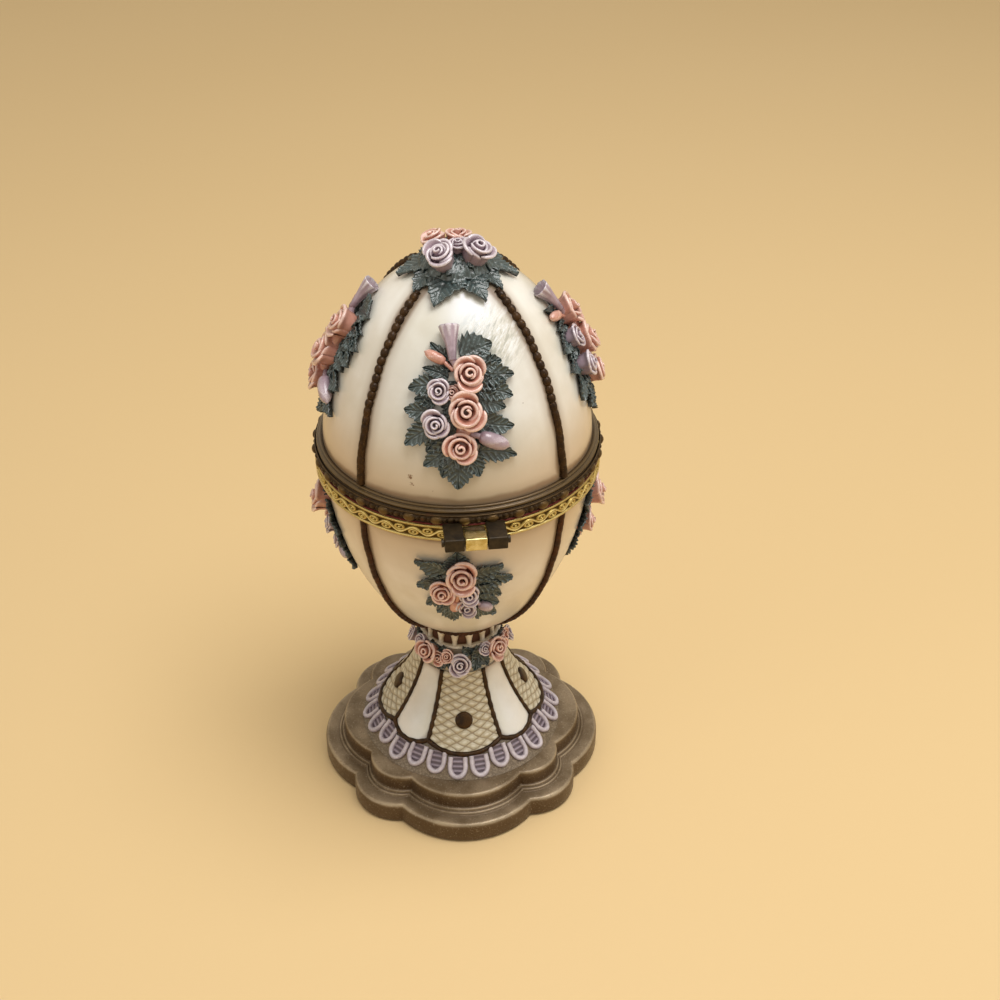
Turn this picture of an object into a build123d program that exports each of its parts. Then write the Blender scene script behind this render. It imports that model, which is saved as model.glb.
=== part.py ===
from build123d import *

import os
from math import cos, pi, radians, sin, sqrt

# A hinged egg box on a flared pedestal: two cast resin half shells with metal rims,
# a three-knuckle hinge, applied cords and rose sprays, and a lobed two-tier plinth.
# Millimetres, +Z up, the origin on the table under the egg's axis, the hinge towards -Y.

# Egg shells
egg_radius = 33.0
lid_rise = 49.5
bowl_drop = 54.7
shell_wall = 3.0
bowl_floor = 4.0
glue = 0.05

# Metal rims around the two mouths, and the moulding above the lid's rim
rim_stand = 2.0
rim_gap = 0.25
rim_flange = 0.8
rim_edge = 0.45
rim_recess = 0.4
lid_rim_height = 2.8
bowl_rim_height = 4.2
lid_bead_height = 1.5
lid_bead_stand = 1.3
lip_height = 2.0
lip_thickness = 0.8
lip_clearance = 0.4

# Hinge
knuckle = 3.3
knuckle_width = 4.5
middle_knuckle_width = 5.0
knuckle_play = 0.15
knuckle_round = 0.4
hinge_reach = 6.4
hinge_drop = 0.6
hinge_turn = 3.3
hinge_tab_height = 2.6
hinge_tab_thickness = 0.7
pin_radius = 0.6
pin_play = 0.05
pin_fit = 0.02
pin_head_radius = 0.95
pin_head_thickness = 0.5

# Cords that divide the egg into four panels
cord_width = 2.0
cord_height = 1.0
lid_cord_end_radius = 11.9
bowl_cord_end_radius = 12.6

# Plinth: four wide and four narrow lobes in two tiers
foot_ledge = 1.9
step_inset = 5.4
tier_bead_width = 1.6
wide_lobe_depth = 3.6
narrow_lobe_depth = 2.8
lower_tier_height = 6.1
tier_bead_height = 1.2
upper_tier_height = 4.4
tier_round = 0.7
cusp_angle = 30.0

# Felt pad let into the underside
felt_margin = 4.8
felt_thickness = 1.2
felt_proud = 0.2
felt_play = 0.3

# Pedestal: a trumpet flare from the neck to the foot
neck_radius = 10.0
foot_radius = 27.3
pedestal_height = 31.5
flare_radius = 45.0
foot_spigot_radius = 12.0
foot_spigot_length = 3.0
spigot_play = 0.1

# Tongues, outline cords and studs on the pedestal
tongue_angle = 27.9
tongue_scallop = 1.7
narrow_tongue_drop = 0.4
tongue_top_stand = 1.5
tongue_thickness = 0.45
outline_width = 1.1
outline_height = 0.9
stud_radius = 2.35
stud_height = 0.8
stud_inset = 5.6

# Lace border: loops around the pedestal's foot
lace_loops = 26
lace_turn = -4.9
lace_length = 4.7
lace_margin = 0.4
lace_gap = 0.15
lace_cord = 1.05
lace_height = 0.85
lace_ground_height = 0.4
piece_play = 0.06

# Neck: bowl spigot, collar, arcade and rope
spigot_radius = 6.0
spigot_length = 7.0
collar_height = 6.05
collar_inset = 0.6
arcade_stand = 0.6
arcade_drop = 1.35
arcade_lip = 1.1
arcade_posts = 16
post_top_width = 3.0
post_foot_width = 1.5
rope_radius = 1.1

# Applied flowers
leaf_thickness = 0.8
rose_height_ratio = 0.95
rose_sink_ratio = 0.6

# Places of the roses and buds on the lid's sprays: across, up and the flower's radius
lid_spray_rise = 26.0
lid_pink_roses = [(1.2, 8.2, 3.7), (0.5, 0.5, 3.9), (-0.9, -7.7, 3.4)]
lid_lilac_roses = [(-5.8, 4.5, 2.4), (-6.4, -2.6, 2.9)]
lid_pink_buds = [((-5.1, 11.2), (-8.2, 13.7), 1.2)]
lid_lilac_buds = [((-1.5, 13.5), (-2.3, 18.5), 1.7), ((4.3, -6.1), (10.2, -7.9), 1.6)]
lid_leaves = [
    ((-2.9, 10.7), (-7.2, 15.7), 2.4),
    ((-4.0, 7.6), (-8.6, 9.8), 2.4),
    ((0.2, 11.2), (6.7, 15.6), 6.3),
    ((3.6, 8.4), (11.4, 8.0), 4.5),
    ((3.4, 3.6), (11.2, 3.3), 4.7),
    ((2.9, -2.9), (11.1, -4.5), 4.5),
    ((2.6, -7.2), (11.8, -10.4), 3.7),
    ((-1.3, -8.2), (-1.9, -17.6), 6.1),
    ((-3.3, -6.7), (-8.6, -11.0), 4.9),
    ((-5.9, -4.0), (-12.2, -7.2), 4.3),
    ((-5.8, -0.5), (-12.0, -0.2), 4.5),
    ((-5.3, 4.2), (-11.2, 5.5), 4.3),
]

# The same on the bowl's sprays
bowl_spray_drop = 23.4
bowl_pink_roses = [(-0.8, 6.7, 3.8), (-6.1, 0.2, 2.9)]
bowl_lilac_roses = [(0.3, -0.9, 2.6), (-0.4, -6.5, 2.2)]
bowl_pink_buds = [((-2.0, -2.7), (-4.5, -5.3), 1.2)]
bowl_lilac_buds = [((3.6, -3.6), (6.7, -6.5), 1.4)]
bowl_leaves = [
    ((-1.1, 8.2), (-2.9, 14.7), 5.1),
    ((-3.2, 6.8), (-11.2, 10.5), 4.7),
    ((-4.6, 3.7), (-10.7, 3.5), 4.3),
    ((0.9, 6.3), (8.7, 9.8), 4.5),
    ((1.9, 3.6), (10.9, 4.7), 4.5),
    ((1.5, -0.1), (8.5, -1.4), 4.3),
    ((1.3, -3.6), (6.5, -9.2), 4.3),
    ((-4.8, -1.1), (-9.4, -4.9), 3.7),
    ((-2.1, -4.7), (-4.0, -10.3), 4.3),
]

# Flowers on the egg's top: across, back, radius and lean, and the leaves around them
top_pink_roses = [(-3.5, 0.5, 2.7), (0.8, 1.2, 2.4)]
top_lilac_roses = [(-3.0, -5.0, 3.0), (4.4, -3.1, 3.2)]
top_leaf_angles = [-22.0, 22.0, 90.0, 158.0, -158.0, -90.0]
top_leaf_reach = 13.4
top_leaf_width = 7.6
top_pad_radius = 7.4
top_pad_thickness = 3.2

# Garland around the neck: turn of each rose, drop below the neck's top, radius
garland_pink_roses = [(-45.0, 2.2, 2.8), (45.0, 2.2, 2.8), (135.0, 2.2, 2.8), (-135.0, 2.2, 2.8)]
garland_lilac_roses = [(0.0, 3.6, 2.7), (90.0, 3.6, 2.7), (180.0, 3.6, 2.7), (-90.0, 3.6, 2.7)]
garland_leaf_turns = 8
garland_leaf_drop = 1.8
garland_leaf_length = 4.8
garland_leaf_width = 2.8

# Radii that follow from the sizes above
rim_radius = egg_radius + rim_stand
lid_bead_radius = egg_radius + lid_bead_stand
bowl_foot_radius = neck_radius
collar_radius = neck_radius - collar_inset
arcade_radius = neck_radius + arcade_stand
tongue_top_radius = neck_radius + tongue_top_stand
tongue_wide_crest = foot_radius - lace_margin - lace_length
tongue_narrow_crest = tongue_wide_crest - narrow_tongue_drop
tongue_cusp = tongue_wide_crest - tongue_scallop
stud_place_radius = tongue_wide_crest - stud_inset
tier_cusp = foot_radius + foot_ledge + step_inset
tier_wide_crest = tier_cusp + wide_lobe_depth
tier_narrow_crest = tier_cusp + narrow_lobe_depth
bead_inset = step_inset - tier_bead_width
felt_radius = tier_cusp - felt_margin

# Heights that follow from the sizes above
plinth_top = felt_proud + lower_tier_height + tier_bead_height + upper_tier_height
foot_height = plinth_top + glue
neck_height = foot_height + pedestal_height
collar_foot = neck_height + glue
arcade_height = collar_height - arcade_drop
bowl_foot = collar_foot + collar_height + glue
parting_height = bowl_foot + bowl_drop * sqrt(1 - (bowl_foot_radius / egg_radius) ** 2)
lid_rim_bottom = parting_height + rim_gap / 2
lid_rim_top = lid_rim_bottom + lid_rim_height
lid_mouth = lid_rim_bottom + rim_flange + glue
lid_bead_top = lid_rim_top + glue + lid_bead_height
bowl_rim_top = parting_height - rim_gap / 2
bowl_rim_bottom = bowl_rim_top - bowl_rim_height
bowl_mouth = bowl_rim_top - rim_flange - glue
hinge_distance = rim_radius + hinge_reach - knuckle / 2
hinge_height = parting_height - hinge_drop
quarter_turns = {"front": 0, "right": 90, "back": 180, "left": 270}


def save(piece, name):
    """Writes one finished piece as its own STEP file."""
    piece.label = name
    export_step(piece, f"parts/{name}.step")


def save_on_each_side(piece, name):
    """Writes a piece four times, turned onto each of the egg's four panels."""
    for side, turn in quarter_turns.items():
        save(piece.rotate(Axis.Z, turn), name.format(side))


def egg_arc(reach, rise):
    """Quarter of the egg's outline, standing proud by rise; reach is +lid_rise or -bowl_drop."""
    end = 90 if reach > 0 else -90
    return EllipticalCenterArc((0, parting_height), egg_radius + rise, abs(reach) + rise, 0, arc_size=end)


def egg_form(reach, rise):
    """Solid half egg whose outside stands proud of the shell by rise."""
    with BuildPart() as form:
        with BuildSketch(Plane.XZ):
            with BuildLine():
                edge = egg_arc(reach, rise)
                Line(edge @ 1, (0, parting_height))
                Line((0, parting_height), edge @ 0)
            make_face()
        revolve(axis=Axis.Z)
    return form.part


def egg_layer(reach, low, high):
    """Skin over half the egg, from low to high above the shell."""
    with BuildPart() as layer:
        with BuildSketch(Plane.XZ):
            with BuildLine():
                under = egg_arc(reach, low)
                over = egg_arc(reach, high)
                Line(under @ 0, over @ 0)
                Line(under @ 1, over @ 1)
            make_face()
        revolve(axis=Axis.Z)
    return layer.part


def egg_plane(reach, distance):
    """Plane touching the egg's front panel at a distance above or below the parting plane."""
    height = distance if reach > 0 else -distance
    radius = egg_radius * sqrt(1 - (height / reach) ** 2)
    normal = Vector(0, -radius / egg_radius**2, height / reach**2)
    return Plane((0, -radius, parting_height + height), x_dir=(1, 0, 0), z_dir=normal)


def flower_plane(spray, across, up, reach):
    """Plane on the egg under a point of a spray, looking straight out of the shell."""
    point = spray.from_local_coords((across, up, 0))
    height = point.Z - parting_height
    shell = egg_radius * sqrt(1 - (height / reach) ** 2)
    flat = sqrt(point.X**2 + point.Y**2)
    foot = Vector(point.X * shell / flat, point.Y * shell / flat, point.Z)
    normal = Vector(foot.X / egg_radius**2, foot.Y / egg_radius**2, height / reach**2)
    return Plane(foot, x_dir=Vector(0, 0, 1).cross(normal), z_dir=normal)


def rose(plane, radius):
    """One open rose: an outer ring of petals, an inner ring and a bud, standing on plane."""
    height = radius * rose_height_ratio
    sink = radius * rose_sink_ratio
    side = Plane(plane.origin, x_dir=plane.x_dir, z_dir=-plane.y_dir)
    with BuildPart() as flower:
        with BuildSketch(side):
            with BuildLine():
                Line((0, -sink), (0.62 * radius, -sink))
                ThreePointArc((0.62 * radius, -sink), (0.94 * radius, 0.22 * height), (radius, 0.62 * height))
                Line((radius, 0.62 * height), (0.82 * radius, 0.72 * height))
                ThreePointArc(
                    (0.82 * radius, 0.72 * height), (0.66 * radius, 0.46 * height), (0.58 * radius, 0.9 * height)
                )
                Line((0.58 * radius, 0.9 * height), (0.44 * radius, 0.94 * height))
                ThreePointArc(
                    (0.44 * radius, 0.94 * height), (0.33 * radius, 0.7 * height), (0.24 * radius, height)
                )
                Line((0.24 * radius, height), (0, 0.9 * height))
                Line((0, 0.9 * height), (0, -sink))
            make_face()
        revolve(axis=Axis(plane.origin, plane.z_dir))
    return flower.part


def bud(plane, start, end, radius):
    """One closed bud lying on a spray's plane, from its stalk at start to its tip at end."""
    foot = plane.from_local_coords((*start, 0))
    tip = plane.from_local_coords((*end, 0))
    length = (tip - foot).length
    side = Plane(foot, x_dir=tip - foot, z_dir=plane.z_dir)
    with BuildPart() as flower:
        with BuildSketch(side):
            with BuildLine():
                Line((0, 0), (0, 0.5 * radius))
                ThreePointArc((0, 0.5 * radius), (0.6 * length, radius), (length, 0.55 * radius))
                Line((length, 0.55 * radius), (length, 0))
                Line((length, 0), (0, 0))
            make_face()
        revolve(axis=Axis(foot, tip - foot))
    return flower.part


def leaf_outline(base, tip, width):
    """Both edges of a pointed leaf as two arcs, inside a BuildLine."""
    stem = Vector(*base)
    point = Vector(*tip)
    half = Vector(stem.Y - point.Y, point.X - stem.X).normalized() * (width / 2)
    middle = (stem + point) * 0.5
    ThreePointArc(stem, middle + half, point)
    ThreePointArc(point, middle - half, stem)


def sprig(spray, leaves, roses, reach):
    """All leaves of a spray with the pad under its roses, as one skin on the shell."""
    with BuildPart() as greenery:
        with BuildSketch(spray) as outline:
            for base, tip, width in leaves:
                with BuildLine():
                    leaf_outline(base, tip, width)
                make_face()
            for across, up, radius in roses:
                with Locations((across, up)):
                    Circle(0.8 * radius)
        extrude(outline.sketch, amount=egg_radius / 2, both=True)
        add(egg_layer(reach, glue, glue + leaf_thickness), mode=Mode.INTERSECT)
    return greenery.part


def flowers(spray, roses, buds, reach):
    """Roses and buds of one colour, seated on the sprig of their spray."""
    seat = 2 * glue + leaf_thickness
    with BuildPart() as group:
        for across, up, radius in roses:
            add(rose(flower_plane(spray, across, up, reach), radius))
        for start, end, radius in buds:
            middle = flower_plane(spray, (start[0] + end[0]) / 2, (start[1] + end[1]) / 2, reach)
            lie = Plane(middle.origin + middle.z_dir * seat, x_dir=middle.x_dir, z_dir=middle.z_dir)
            half = ((end[0] - start[0]) / 2, (end[1] - start[1]) / 2)
            add(bud(lie, (-half[0], -half[1]), half, radius))
        add(egg_form(reach, seat), mode=Mode.SUBTRACT)
    return group.part


def polar(radius, angle):
    """Plan point at an angle from the front, positive towards +X."""
    return (radius * sin(radians(angle)), -radius * cos(radians(angle)))


def lobes(wide_crest, narrow_crest, cusp, angle):
    """Closed outline of four wide and four narrow lobes, inside a BuildLine."""
    for turn in quarter_turns.values():
        ThreePointArc(polar(cusp, turn - angle), polar(wide_crest, turn), polar(cusp, turn + angle))
        next_cusp = turn + 90 - angle
        ThreePointArc(polar(cusp, turn + angle), polar(narrow_crest, turn + 45), polar(cusp, next_cusp))


def flare_points(rise):
    """Ends of the pedestal's flare, standing proud by rise, with the arc's radius."""
    neck = Vector(neck_radius, neck_height)
    foot = Vector(foot_radius, foot_height)
    chord = foot - neck
    outward = Vector(-chord.Y, chord.X).normalized()
    centre = (neck + foot) * 0.5 + outward * sqrt(flare_radius**2 - (chord.length / 2) ** 2)
    shrink = (flare_radius - rise) / flare_radius
    return centre + (neck - centre) * shrink, centre + (foot - centre) * shrink, centre, flare_radius - rise


def flare_arc(rise):
    """The pedestal's outline from neck to foot, inside a BuildLine."""
    neck, foot, centre, radius = flare_points(rise)
    middle = centre + ((neck + foot) * 0.5 - centre).normalized() * radius
    return ThreePointArc(neck, middle, foot)


def flare_form(rise):
    """Solid pedestal whose outside stands proud of the flare by rise."""
    with BuildPart() as form:
        with BuildSketch(Plane.XZ):
            with BuildLine():
                edge = flare_arc(rise)
                top, bottom = edge @ 0, edge @ 1
                Polyline(bottom, (0, bottom.Y), (0, top.Y), top)
            make_face()
        revolve(axis=Axis.Z)
    return form.part


def flare_layer(low, high):
    """Skin over the pedestal, from low to high above the flare."""
    with BuildPart() as layer:
        with BuildSketch(Plane.XZ):
            with BuildLine():
                under = flare_arc(low)
                over = flare_arc(high)
                Line(under @ 0, over @ 0)
                Line(under @ 1, over @ 1)
            make_face()
        revolve(axis=Axis.Z)
    return layer.part


def flare_plane(turn, level):
    """Plane touching the pedestal at a turn from the front and a level above the table."""
    centre = flare_points(0)[2]
    radius = centre.X - sqrt(flare_radius**2 - (level - centre.Y) ** 2)
    lean = (centre.Y - level) / flare_radius
    out = Vector(*polar(1, turn), 0)
    normal = out * sqrt(1 - lean**2) + Vector(0, 0, lean)
    return Plane(out * radius + Vector(0, 0, level), x_dir=(cos(radians(turn)), sin(radians(turn)), 0), z_dir=normal)


def tongue_outline(turn, half_angle, crest):
    """Plan outline of one tongue, from the neck to its rounded end, inside a BuildLine."""
    near_left = polar(tongue_top_radius, turn - half_angle)
    near_right = polar(tongue_top_radius, turn + half_angle)
    far_left = polar(tongue_cusp, turn - half_angle)
    far_right = polar(tongue_cusp, turn + half_angle)
    Polyline(far_left, near_left, near_right, far_right)
    ThreePointArc(far_right, polar(crest, turn), far_left)


def tongues(first_turn, half_angle, crest, inset):
    """Plan sketch of four tongues a quarter turn apart, each drawn in by inset."""
    with BuildSketch() as outlines:
        for turn in quarter_turns.values():
            with BuildSketch(mode=Mode.PRIVATE) as one:
                with BuildLine():
                    tongue_outline(first_turn + turn, half_angle, crest)
                make_face()
            add(offset(one.sketch, amount=-inset, kind=Kind.INTERSECTION, mode=Mode.PRIVATE))
    return outlines.sketch


def pedestal_skin(outline, low, high):
    """The part of a skin over the pedestal that lies under a plan outline."""
    with BuildPart() as skin:
        extrude(outline, amount=neck_height, dir=(0, 0, 1))
        add(flare_layer(low, high), mode=Mode.INTERSECT)
    return skin.part


os.makedirs("parts", exist_ok=True)

# Felt pad, a plain disc glued into the plinth's recess and standing just proud of it
with BuildPart() as felt_pad:
    Cylinder(felt_radius, felt_thickness, align=(Align.CENTER, Align.CENTER, Align.MIN))
save(felt_pad.part, "felt_pad")

# Plinth: lower tier, a bead between the tiers and the upper tier, cast in one
with BuildPart() as plinth:
    tier_level = felt_proud
    for inset, height in ((0, lower_tier_height), (bead_inset, tier_bead_height), (step_inset, upper_tier_height)):
        with BuildSketch(Plane.XY.offset(tier_level)):
            with BuildLine():
                lobes(tier_wide_crest - inset, tier_narrow_crest - inset, tier_cusp - inset, cusp_angle)
            make_face()
        extrude(amount=height)
        tier_level += height
    tier_tops = [face.outer_wire().edges() for face in plinth.faces().filter_by(Axis.Z).sort_by(Axis.Z)[1:]]
    fillet([edge for edges in tier_tops for edge in edges], radius=min(tier_round, tier_bead_height / 2))
    with BuildSketch(Plane.XY.offset(felt_proud)):
        Circle(felt_radius + felt_play)
    extrude(amount=felt_thickness - felt_proud + glue, mode=Mode.SUBTRACT)
    with BuildSketch(Plane.XY.offset(plinth_top)):
        Circle(foot_spigot_radius + spigot_play)
    extrude(amount=-foot_spigot_length - glue, mode=Mode.SUBTRACT)
save(plinth.part, "plinth")

# Pedestal: solid flare with a spigot below and a socket for the bowl's spigot above
with BuildPart() as pedestal:
    add(flare_form(0))
    with BuildSketch(Plane.XY.offset(foot_height)):
        Circle(foot_spigot_radius)
    extrude(amount=-foot_spigot_length)
    with BuildSketch(Plane.XY.offset(neck_height)):
        Circle(spigot_radius + spigot_play)
    extrude(amount=-spigot_length, mode=Mode.SUBTRACT)
save(pedestal.part, "pedestal")

# Tongues: four quilted ones below the egg's panels and four plain ones between them
wide_half = tongue_angle
narrow_half = 45 - tongue_angle
panel_inset = outline_width / 2 + piece_play
quilted = tongues(0, wide_half, tongue_wide_crest, panel_inset)
save(pedestal_skin(quilted, glue, glue + tongue_thickness), "quilted_tongues")
plain = tongues(45, narrow_half, tongue_narrow_crest, panel_inset)
save(pedestal_skin(plain, glue, glue + tongue_thickness), "plain_tongues")

# Outline cords: one network along the edges of all eight tongues
with BuildSketch() as outlines:
    add(tongues(0, wide_half, tongue_wide_crest, -outline_width / 2))
    add(tongues(45, narrow_half, tongue_narrow_crest, -outline_width / 2))
    tongue_region = outlines.sketch
    add(tongues(0, wide_half, tongue_wide_crest, outline_width / 2), mode=Mode.SUBTRACT)
    add(tongues(45, narrow_half, tongue_narrow_crest, outline_width / 2), mode=Mode.SUBTRACT)
    Circle(tongue_top_radius, mode=Mode.SUBTRACT)
save(pedestal_skin(outlines.sketch, glue, glue + outline_height), "outline_cords")

# Studs: one small dome on each quilted tongue
stud_level = flare_points(0)[2].Y - sqrt(flare_radius**2 - (flare_points(0)[2].X - stud_place_radius) ** 2)
stud_seat = 2 * glue + tongue_thickness
with BuildPart() as studs:
    for turn in quarter_turns.values():
        face = flare_plane(turn, stud_level)
        with BuildSketch(Plane(face.origin, x_dir=face.x_dir, z_dir=-face.y_dir)):
            with BuildLine():
                Line((0, -stud_height), (stud_radius, -stud_height))
                Line((stud_radius, -stud_height), (stud_radius, stud_seat))
                dome_top = (0, stud_seat + stud_height)
                ThreePointArc((stud_radius, stud_seat), (0.74 * stud_radius, stud_seat + 0.62 * stud_height), dome_top)
                Line(dome_top, (0, -stud_height))
            make_face()
        revolve(axis=Axis(face.origin, face.z_dir))
    add(flare_layer(stud_seat, stud_seat + 2 * stud_height), mode=Mode.INTERSECT)
save(studs.part, "pedestal_studs")

# Lace border: a ring of cord loops, with a ribbed ground inside each loop
loop_width = 2 * pi * tongue_cusp / lace_loops - lace_gap


def tongue_edge(turn):
    """Plan radius of the tongues' rounded ends at a turn from the front."""
    crest, half, swing = tongue_wide_crest, wide_half, (turn + wide_half) % 90 - wide_half
    if swing > wide_half:
        crest, half, swing = tongue_narrow_crest, narrow_half, swing - 45
    centre = (crest**2 - tongue_cusp**2) / (2 * (crest - tongue_cusp * cos(radians(half))))
    across = centre * sin(radians(swing))
    return centre * cos(radians(swing)) + sqrt((crest - centre) ** 2 - across**2)


def lace(inset):
    """Plan sketch of all loops, hung from the tongues' edge and each drawn in by inset."""
    with BuildSketch() as loops:
        for number in range(lace_loops):
            turn = lace_turn + 360 * number / lace_loops
            start = tongue_cusp - loop_width
            end = tongue_edge(turn) + lace_length - inset
            with Locations(polar((start + end) / 2, turn)):
                SlotOverall(end - start, loop_width - 2 * inset, rotation=turn - 90)
        offset(tongue_region, amount=piece_play, mode=Mode.SUBTRACT)
        Circle(tongue_cusp, mode=Mode.SUBTRACT)
    return loops.sketch


with BuildSketch() as loop_cords:
    add(lace(0))
    add(lace(lace_cord), mode=Mode.SUBTRACT)
save(pedestal_skin(loop_cords.sketch, glue, glue + lace_height), "lace_loops")
save(pedestal_skin(lace(lace_cord + piece_play), glue, glue + lace_ground_height), "lace_grounds")

# Neck collar: a plain ring between the pedestal and the bowl, around the bowl's spigot
with BuildPart() as neck_collar:
    with BuildSketch(Plane.XY.offset(collar_foot)):
        Circle(collar_radius)
        Circle(spigot_radius + spigot_play, mode=Mode.SUBTRACT)
    extrude(amount=collar_height)
save(neck_collar.part, "neck_collar")

# Neck arcade: a lipped ring with upright posts, widest at the top, around the collar
with BuildPart() as neck_arcade:
    with BuildSketch(Plane.XY.offset(collar_foot)):
        Circle(arcade_radius)
        Circle(collar_radius + glue, mode=Mode.SUBTRACT)
    extrude(amount=arcade_lip)
    with BuildPart(mode=Mode.PRIVATE) as posts:
        for number in range(arcade_posts):
            turn = 360 * number / arcade_posts
            out = Vector(*polar(1, turn), 0)
            with BuildSketch(Plane((0, 0, collar_foot), x_dir=(cos(radians(turn)), sin(radians(turn)), 0), z_dir=out)):
                with BuildLine():
                    foot_half, top_half = post_foot_width / 2, post_top_width / 2
                    Polyline(
                        (-foot_half, 0), (foot_half, 0), (top_half, arcade_height), (-top_half, arcade_height), close=True
                    )
                make_face()
            extrude(amount=arcade_radius)
        with BuildSketch(Plane.XY.offset(collar_foot)):
            Circle(arcade_radius)
            Circle(collar_radius + glue, mode=Mode.SUBTRACT)
        extrude(amount=arcade_height, mode=Mode.INTERSECT)
    add(posts.part)
save(neck_arcade.part, "neck_arcade")

# Neck rope: a ring in the corner between the arcade's top and the bowl's underside
rope_level = collar_foot + arcade_height + glue + rope_radius
with BuildPart() as neck_rope:
    with BuildSketch(Plane.XZ):
        with Locations((collar_radius + 3 * glue + rope_radius, rope_level)):
            Circle(rope_radius)
    revolve(axis=Axis.Z)
    add(egg_form(-bowl_drop, glue), mode=Mode.SUBTRACT)
save(neck_rope.part, "neck_rope")

# Bowl shell: cast lower half egg with a floor and a spigot that fits the pedestal
with BuildPart() as bowl_shell:
    add(egg_form(-bowl_drop, 0))
    with BuildSketch(Plane.XZ):
        with BuildLine():
            hollow_bottom = parting_height - (bowl_foot + bowl_floor)
            hollow = EllipticalCenterArc(
                (0, parting_height), egg_radius - shell_wall, hollow_bottom, 0, arc_size=-90
            )
            Polyline(hollow @ 1, (0, parting_height), hollow @ 0)
        make_face()
    revolve(axis=Axis.Z, mode=Mode.SUBTRACT)
    with BuildSketch(Plane.XY.offset(bowl_mouth)):
        Circle(rim_radius)
    extrude(amount=egg_radius, mode=Mode.SUBTRACT)
    with BuildSketch(Plane.XY.offset(bowl_foot)):
        Circle(rim_radius)
    extrude(amount=-egg_radius, mode=Mode.SUBTRACT)
    with BuildSketch(Plane.XY.offset(bowl_foot)):
        Circle(spigot_radius)
    extrude(amount=-(bowl_foot - neck_height) - spigot_length + glue)
save(bowl_shell.part, "bowl_shell")


def rim_face(top, bottom):
    """Outer face of a rim between two half-round edges, inside a BuildLine, from top to bottom."""
    inner = rim_radius - rim_recess
    round_centre = rim_radius - rim_edge
    Line((egg_radius + glue, top), (round_centre, top))
    upper = ThreePointArc(
        (round_centre, top), (rim_radius, top - rim_edge), (inner, top - rim_edge - sqrt(rim_edge**2 - (rim_edge - rim_recess) ** 2))
    )
    lower = ThreePointArc(
        (inner, bottom + rim_edge + sqrt(rim_edge**2 - (rim_edge - rim_recess) ** 2)), (rim_radius, bottom + rim_edge), (round_centre, bottom)
    )
    Line(upper @ 1, lower @ 0)
    Line((round_centre, bottom), (egg_radius + glue, bottom))


# Bowl rim: a stamped band outside the mouth, a flange over its edge and a locating lip
flange_inside = egg_radius - shell_wall
lip_outside = flange_inside - lip_clearance
with BuildPart() as bowl_rim:
    with BuildSketch(Plane.XZ):
        with BuildLine():
            rim_face(bowl_rim_top, bowl_rim_bottom)
            Polyline(
                (egg_radius + glue, bowl_rim_bottom),
                (egg_radius + glue, bowl_rim_top - rim_flange),
                (lip_outside - lip_thickness, bowl_rim_top - rim_flange),
                (lip_outside - lip_thickness, bowl_rim_top + lip_height),
                (lip_outside, bowl_rim_top + lip_height),
                (lip_outside, bowl_rim_top),
                (egg_radius + glue, bowl_rim_top),
            )
        make_face()
    revolve(axis=Axis.Z)
save(bowl_rim.part, "bowl_rim")

# Lid shell: cast upper half egg, hollow, open at the mouth
with BuildPart() as lid_shell:
    add(egg_form(lid_rise, 0))
    with BuildSketch(Plane.XZ):
        with BuildLine():
            hollow = EllipticalCenterArc(
                (0, parting_height), egg_radius - shell_wall, lid_rise - shell_wall, 0, arc_size=90
            )
            Polyline(hollow @ 1, (0, parting_height), hollow @ 0)
        make_face()
    revolve(axis=Axis.Z, mode=Mode.SUBTRACT)
    with BuildSketch(Plane.XY.offset(lid_mouth)):
        Circle(rim_radius)
    extrude(amount=-egg_radius, mode=Mode.SUBTRACT)
save(lid_shell.part, "lid_shell")

# Lid rim: a stamped band outside the mouth with a flange under its edge
with BuildPart() as lid_rim:
    with BuildSketch(Plane.XZ):
        with BuildLine():
            rim_face(lid_rim_top, lid_rim_bottom)
            Polyline(
                (egg_radius + glue, lid_rim_bottom),
                (flange_inside, lid_rim_bottom),
                (flange_inside, lid_rim_bottom + rim_flange),
                (egg_radius + glue, lid_rim_bottom + rim_flange),
                (egg_radius + glue, lid_rim_top),
            )
        make_face()
    revolve(axis=Axis.Z)
save(lid_rim.part, "lid_rim")

# Lid bead: a half-round moulding between the lid's rim and its panels
with BuildPart() as lid_bead:
    with BuildSketch(Plane.XZ):
        with BuildLine():
            round_start = lid_bead_radius - lid_bead_height / 2
            bead_foot = (round_start, lid_rim_top + glue)
            bead_head = (round_start, lid_bead_top)
            ThreePointArc(bead_foot, (lid_bead_radius, (lid_rim_top + glue + lid_bead_top) / 2), bead_head)
            Polyline(bead_head, (egg_radius + glue, lid_bead_top), (egg_radius + glue, lid_rim_top + glue), bead_foot)
        make_face()
    revolve(axis=Axis.Z)
save(lid_bead.part, "lid_bead")


def hinge_side():
    """Plane across the hinge at the front, its x from the pin towards the egg and its y upwards.

    The finished pieces are turned with the rims by hinge_turn, as they are set on the egg.
    """
    return Plane((0, -hinge_distance, hinge_height), x_dir=(0, 1, 0), z_dir=(1, 0, 0))


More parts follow.
